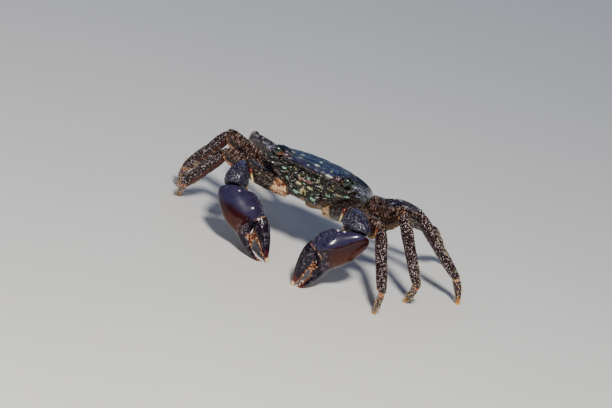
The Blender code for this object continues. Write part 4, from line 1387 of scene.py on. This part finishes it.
def picked(rng, surface, count, low, high, angle, spread):
    """Points, normals and unwrap places picked at random from a stretch of a segment's skin."""
    grid, normal, share = surface
    rows = np.flatnonzero((share[:, 0] > low) & (share[:, 0] < high))
    sides = grid.shape[1]
    row = rng.choice(rows, count)
    turn = (angle + spread * rng.uniform(-1, 1, count)) / 360 * sides
    column = np.round(turn).astype(int) % sides
    return grid[row, column], normal[row, column], np.stack([column / sides, row / len(share)], -1)


def leg_hair(mark, pair, surfaces, ways, finish, spine_finish):
    """The bristles and the spines of a leg, each kind as one piece."""
    rng = np.random.default_rng(pair * 10 + (mark == "l"))
    rows = []
    for part, count, low, high, angle, spread, short, long in BRISTLE_ZONES:
        number = LEG_PARTS.index(part)
        point, normal, place = picked(rng, surfaces[part], count, low, high, angle, spread)
        way = normal + BRISTLE_LEAN * ways[number] + rng.normal(0, BRISTLE_STRAY, (count, 3))
        length = short + (long - short) * rng.random(count) ** 1.5
        way = way / np.linalg.norm(way, axis=1, keepdims=True)
        place = (place + (0, number)) / (1, len(LEG_PARTS))
        rows += zip(point - BRISTLE_ROOT * normal, way, length, place)
    spikes("bristles_" + mark + str(pair), rows, BRISTLE_RADIUS, BRISTLE_DROOP, 4, 3, finish)
    rows = []
    for part, low, high, turns, count in SPINE_ROWS:
        number = LEG_PARTS.index(part)
        grid, normal, share = surfaces[part]
        sides = grid.shape[1]
        for turn, step in itertools.product(turns, range(count)):
            along = low + (high - low) * (step + 0.5 + 0.3 * rng.uniform(-1, 1)) / count
            row = int(np.argmin(np.abs(share[:, 0] - along)))
            column = int(round((turn + 14 * rng.uniform(-1, 1)) / 360 * sides)) % sides
            root = grid[row, column] - SPINE_ROOT * normal[row, column]
            way = unit(normal[row, column] + SPINE_LEAN * ways[number])
            place = (column / sides, (number + row / len(share)) / len(LEG_PARTS))
            rows.append((root, way, SPINE_LENGTH * (1 - 0.35 * along), place))
    spikes("spines_" + mark + str(pair), rows, SPINE_RADIUS, 0, 3, 6, spine_finish)


# ---- camera, light and floor

CAMERA_AZIMUTH, CAMERA_RISE, CAMERA_ROLL = 23, 19.2, 14.3
CAMERA_DISTANCE = 1500
PICTURE = (612, 408)
SCALE = 3.035  # picture's steps to a millimetre at the eyes
EYES_IN_PICTURE = (312.7, 166.1)
SENSOR = 36
# Name, direction round from the front and up, distance and size in metres, watts and colour
LAMPS = (
    ("key", 30, 42, 0.8, 0.1, 7.6, (1, 0.96, 0.9)),
    ("sky", 205, 34, 1, 0.7, 1.05, (0.19, 0.37, 1)),
    ("fill", -60, 50, 1.1, 0.5, 0.8, (0.95, 0.97, 1)),
)
WORLD_COLOUR, WORLD_STRENGTH = (0.78, 0.84, 0.92, 1), 0.1
FLOOR_REACH, FLOOR_DROP = 4, 0.00002


def seen_from(azimuth, rise):
    """Unit vector from the crab towards this direction, round from the front and up."""
    az, el = radians(azimuth), radians(rise)
    return np.array((sin(az) * cos(el), -cos(az) * cos(el), sin(el)))


def camera():
    az, el, roll = map(radians, (CAMERA_AZIMUTH, CAMERA_RISE, CAMERA_ROLL))
    level = np.array((cos(az), sin(az), 0))
    over = np.array((-sin(el) * sin(az), sin(el) * cos(az), cos(el)))
    back = seen_from(CAMERA_AZIMUTH, CAMERA_RISE)
    right = level * cos(roll) + over * sin(roll)
    up = over * cos(roll) - level * sin(roll)
    between_eyes = (box_centre("eye_l") + box_centre("eye_r")) / 2
    target = between_eyes + right * (PICTURE[0] / 2 - EYES_IN_PICTURE[0]) / SCALE
    target -= up * (PICTURE[1] / 2 - EYES_IN_PICTURE[1]) / SCALE
    place = (target + back * CAMERA_DISTANCE) * MM
    made = placed("camera", bpy.data.cameras.new("camera"))
    made.matrix_world = Matrix([(right[n], up[n], back[n], place[n]) for n in range(3)] + [(0, 0, 0, 1)])
    made.data.sensor_width = SENSOR
    made.data.lens = SENSOR * CAMERA_DISTANCE / (PICTURE[0] / SCALE)
    made.data.clip_end = 20
    bpy.context.scene.camera = made


def studio():
    for name, azimuth, rise, distance, size, watts, colour in LAMPS:
        light = bpy.data.lights.new(name, "AREA")
        light.shape = "DISK"
        light.size = size
        light.energy = watts
        light.color = colour
        made = placed(name, light)
        back = Vector(seen_from(azimuth, rise))
        made.location = back * distance
        made.rotation_mode = "QUATERNION"
        made.rotation_quaternion = back.to_track_quat("Z", "Y")
    world = bpy.data.worlds.new("studio")
    world.use_nodes = True
    background = world.node_tree.nodes["Background"]
    background.inputs["Color"].default_value = WORLD_COLOUR
    background.inputs["Strength"].default_value = WORLD_STRENGTH
    bpy.context.scene.world = world
    mesh = bpy.data.meshes.new("floor")
    corners = [(x * FLOOR_REACH, y * FLOOR_REACH, 0) for x, y in ((-1, -1), (1, -1), (1, 1), (-1, 1))]
    mesh.from_pydata(corners, [], [(0, 1, 2, 3)])
    mesh.materials.append(floor_look())
    floor = placed("floor", mesh)
    floor.location.z = -FLOOR_DROP


# ---- the whole crab


def crab():
    belly, mouth, shank = face_look(), mouth_look(), shank_look()
    carapace(shell_look())
    underside(belly)
    abdomen(belly)
    maxillipeds(mouth)
    # The eyestalk's blue-white flecks are painted glints.
    stalk = grained_look("stalk", (18, 6, 9), (84, 20, 20), 0.25, 0.08, 0.6, (190, 192, 204))
    cup = grained_look("eye_cup", (46, 14, 10), (150, 96, 58), 0.3, 0.05, 0.4)
    eyes(eye_look(), stalk, cup)
    feelers(mouth)
    looks = {
        "base": base_look(),
        "merus": merus_look(),
        "carpus": shank,
        "propodus": shank,
        "dactyl": foot_look(),
        "knuckle": knuckle_look(),
        "palm_l": claw_look("claw_l", -1.6, 0.45, 0.3),
        "palm_r": claw_look("claw_r", -8, 0.68, 1.3),
        # The knobs' near-white colour is partly their own and partly painted glint.
        "knob": plain_look("knob", (226, 176, 180), (244, 240, 240), 0.15, 0.6, None, 0.8, 0.05),
        "thorn": plain_look("thorn", (96, 14, 12), (232, 212, 150), 0.25, span=(0.2, 0.5), coat=0.6),
    }
    bristle = plain_look("bristle", (206, 184, 128), (255, 250, 226), (0.6, 0.4))
    spine = plain_look("spine", (186, 82, 24), (250, 206, 78), (0.5, 0.3), span=(0, 0.5), coat=0.3)
    for side, mark in SIDES:
        claw_leg(side, mark, looks)
        for pair in LEG_SIZES:
            surfaces, ways = walking_leg(side, mark, pair, looks)
            leg_hair(mark, pair, surfaces, ways, bristle, spine)


crab()
camera()
studio()
bpy.context.view_layer.update()
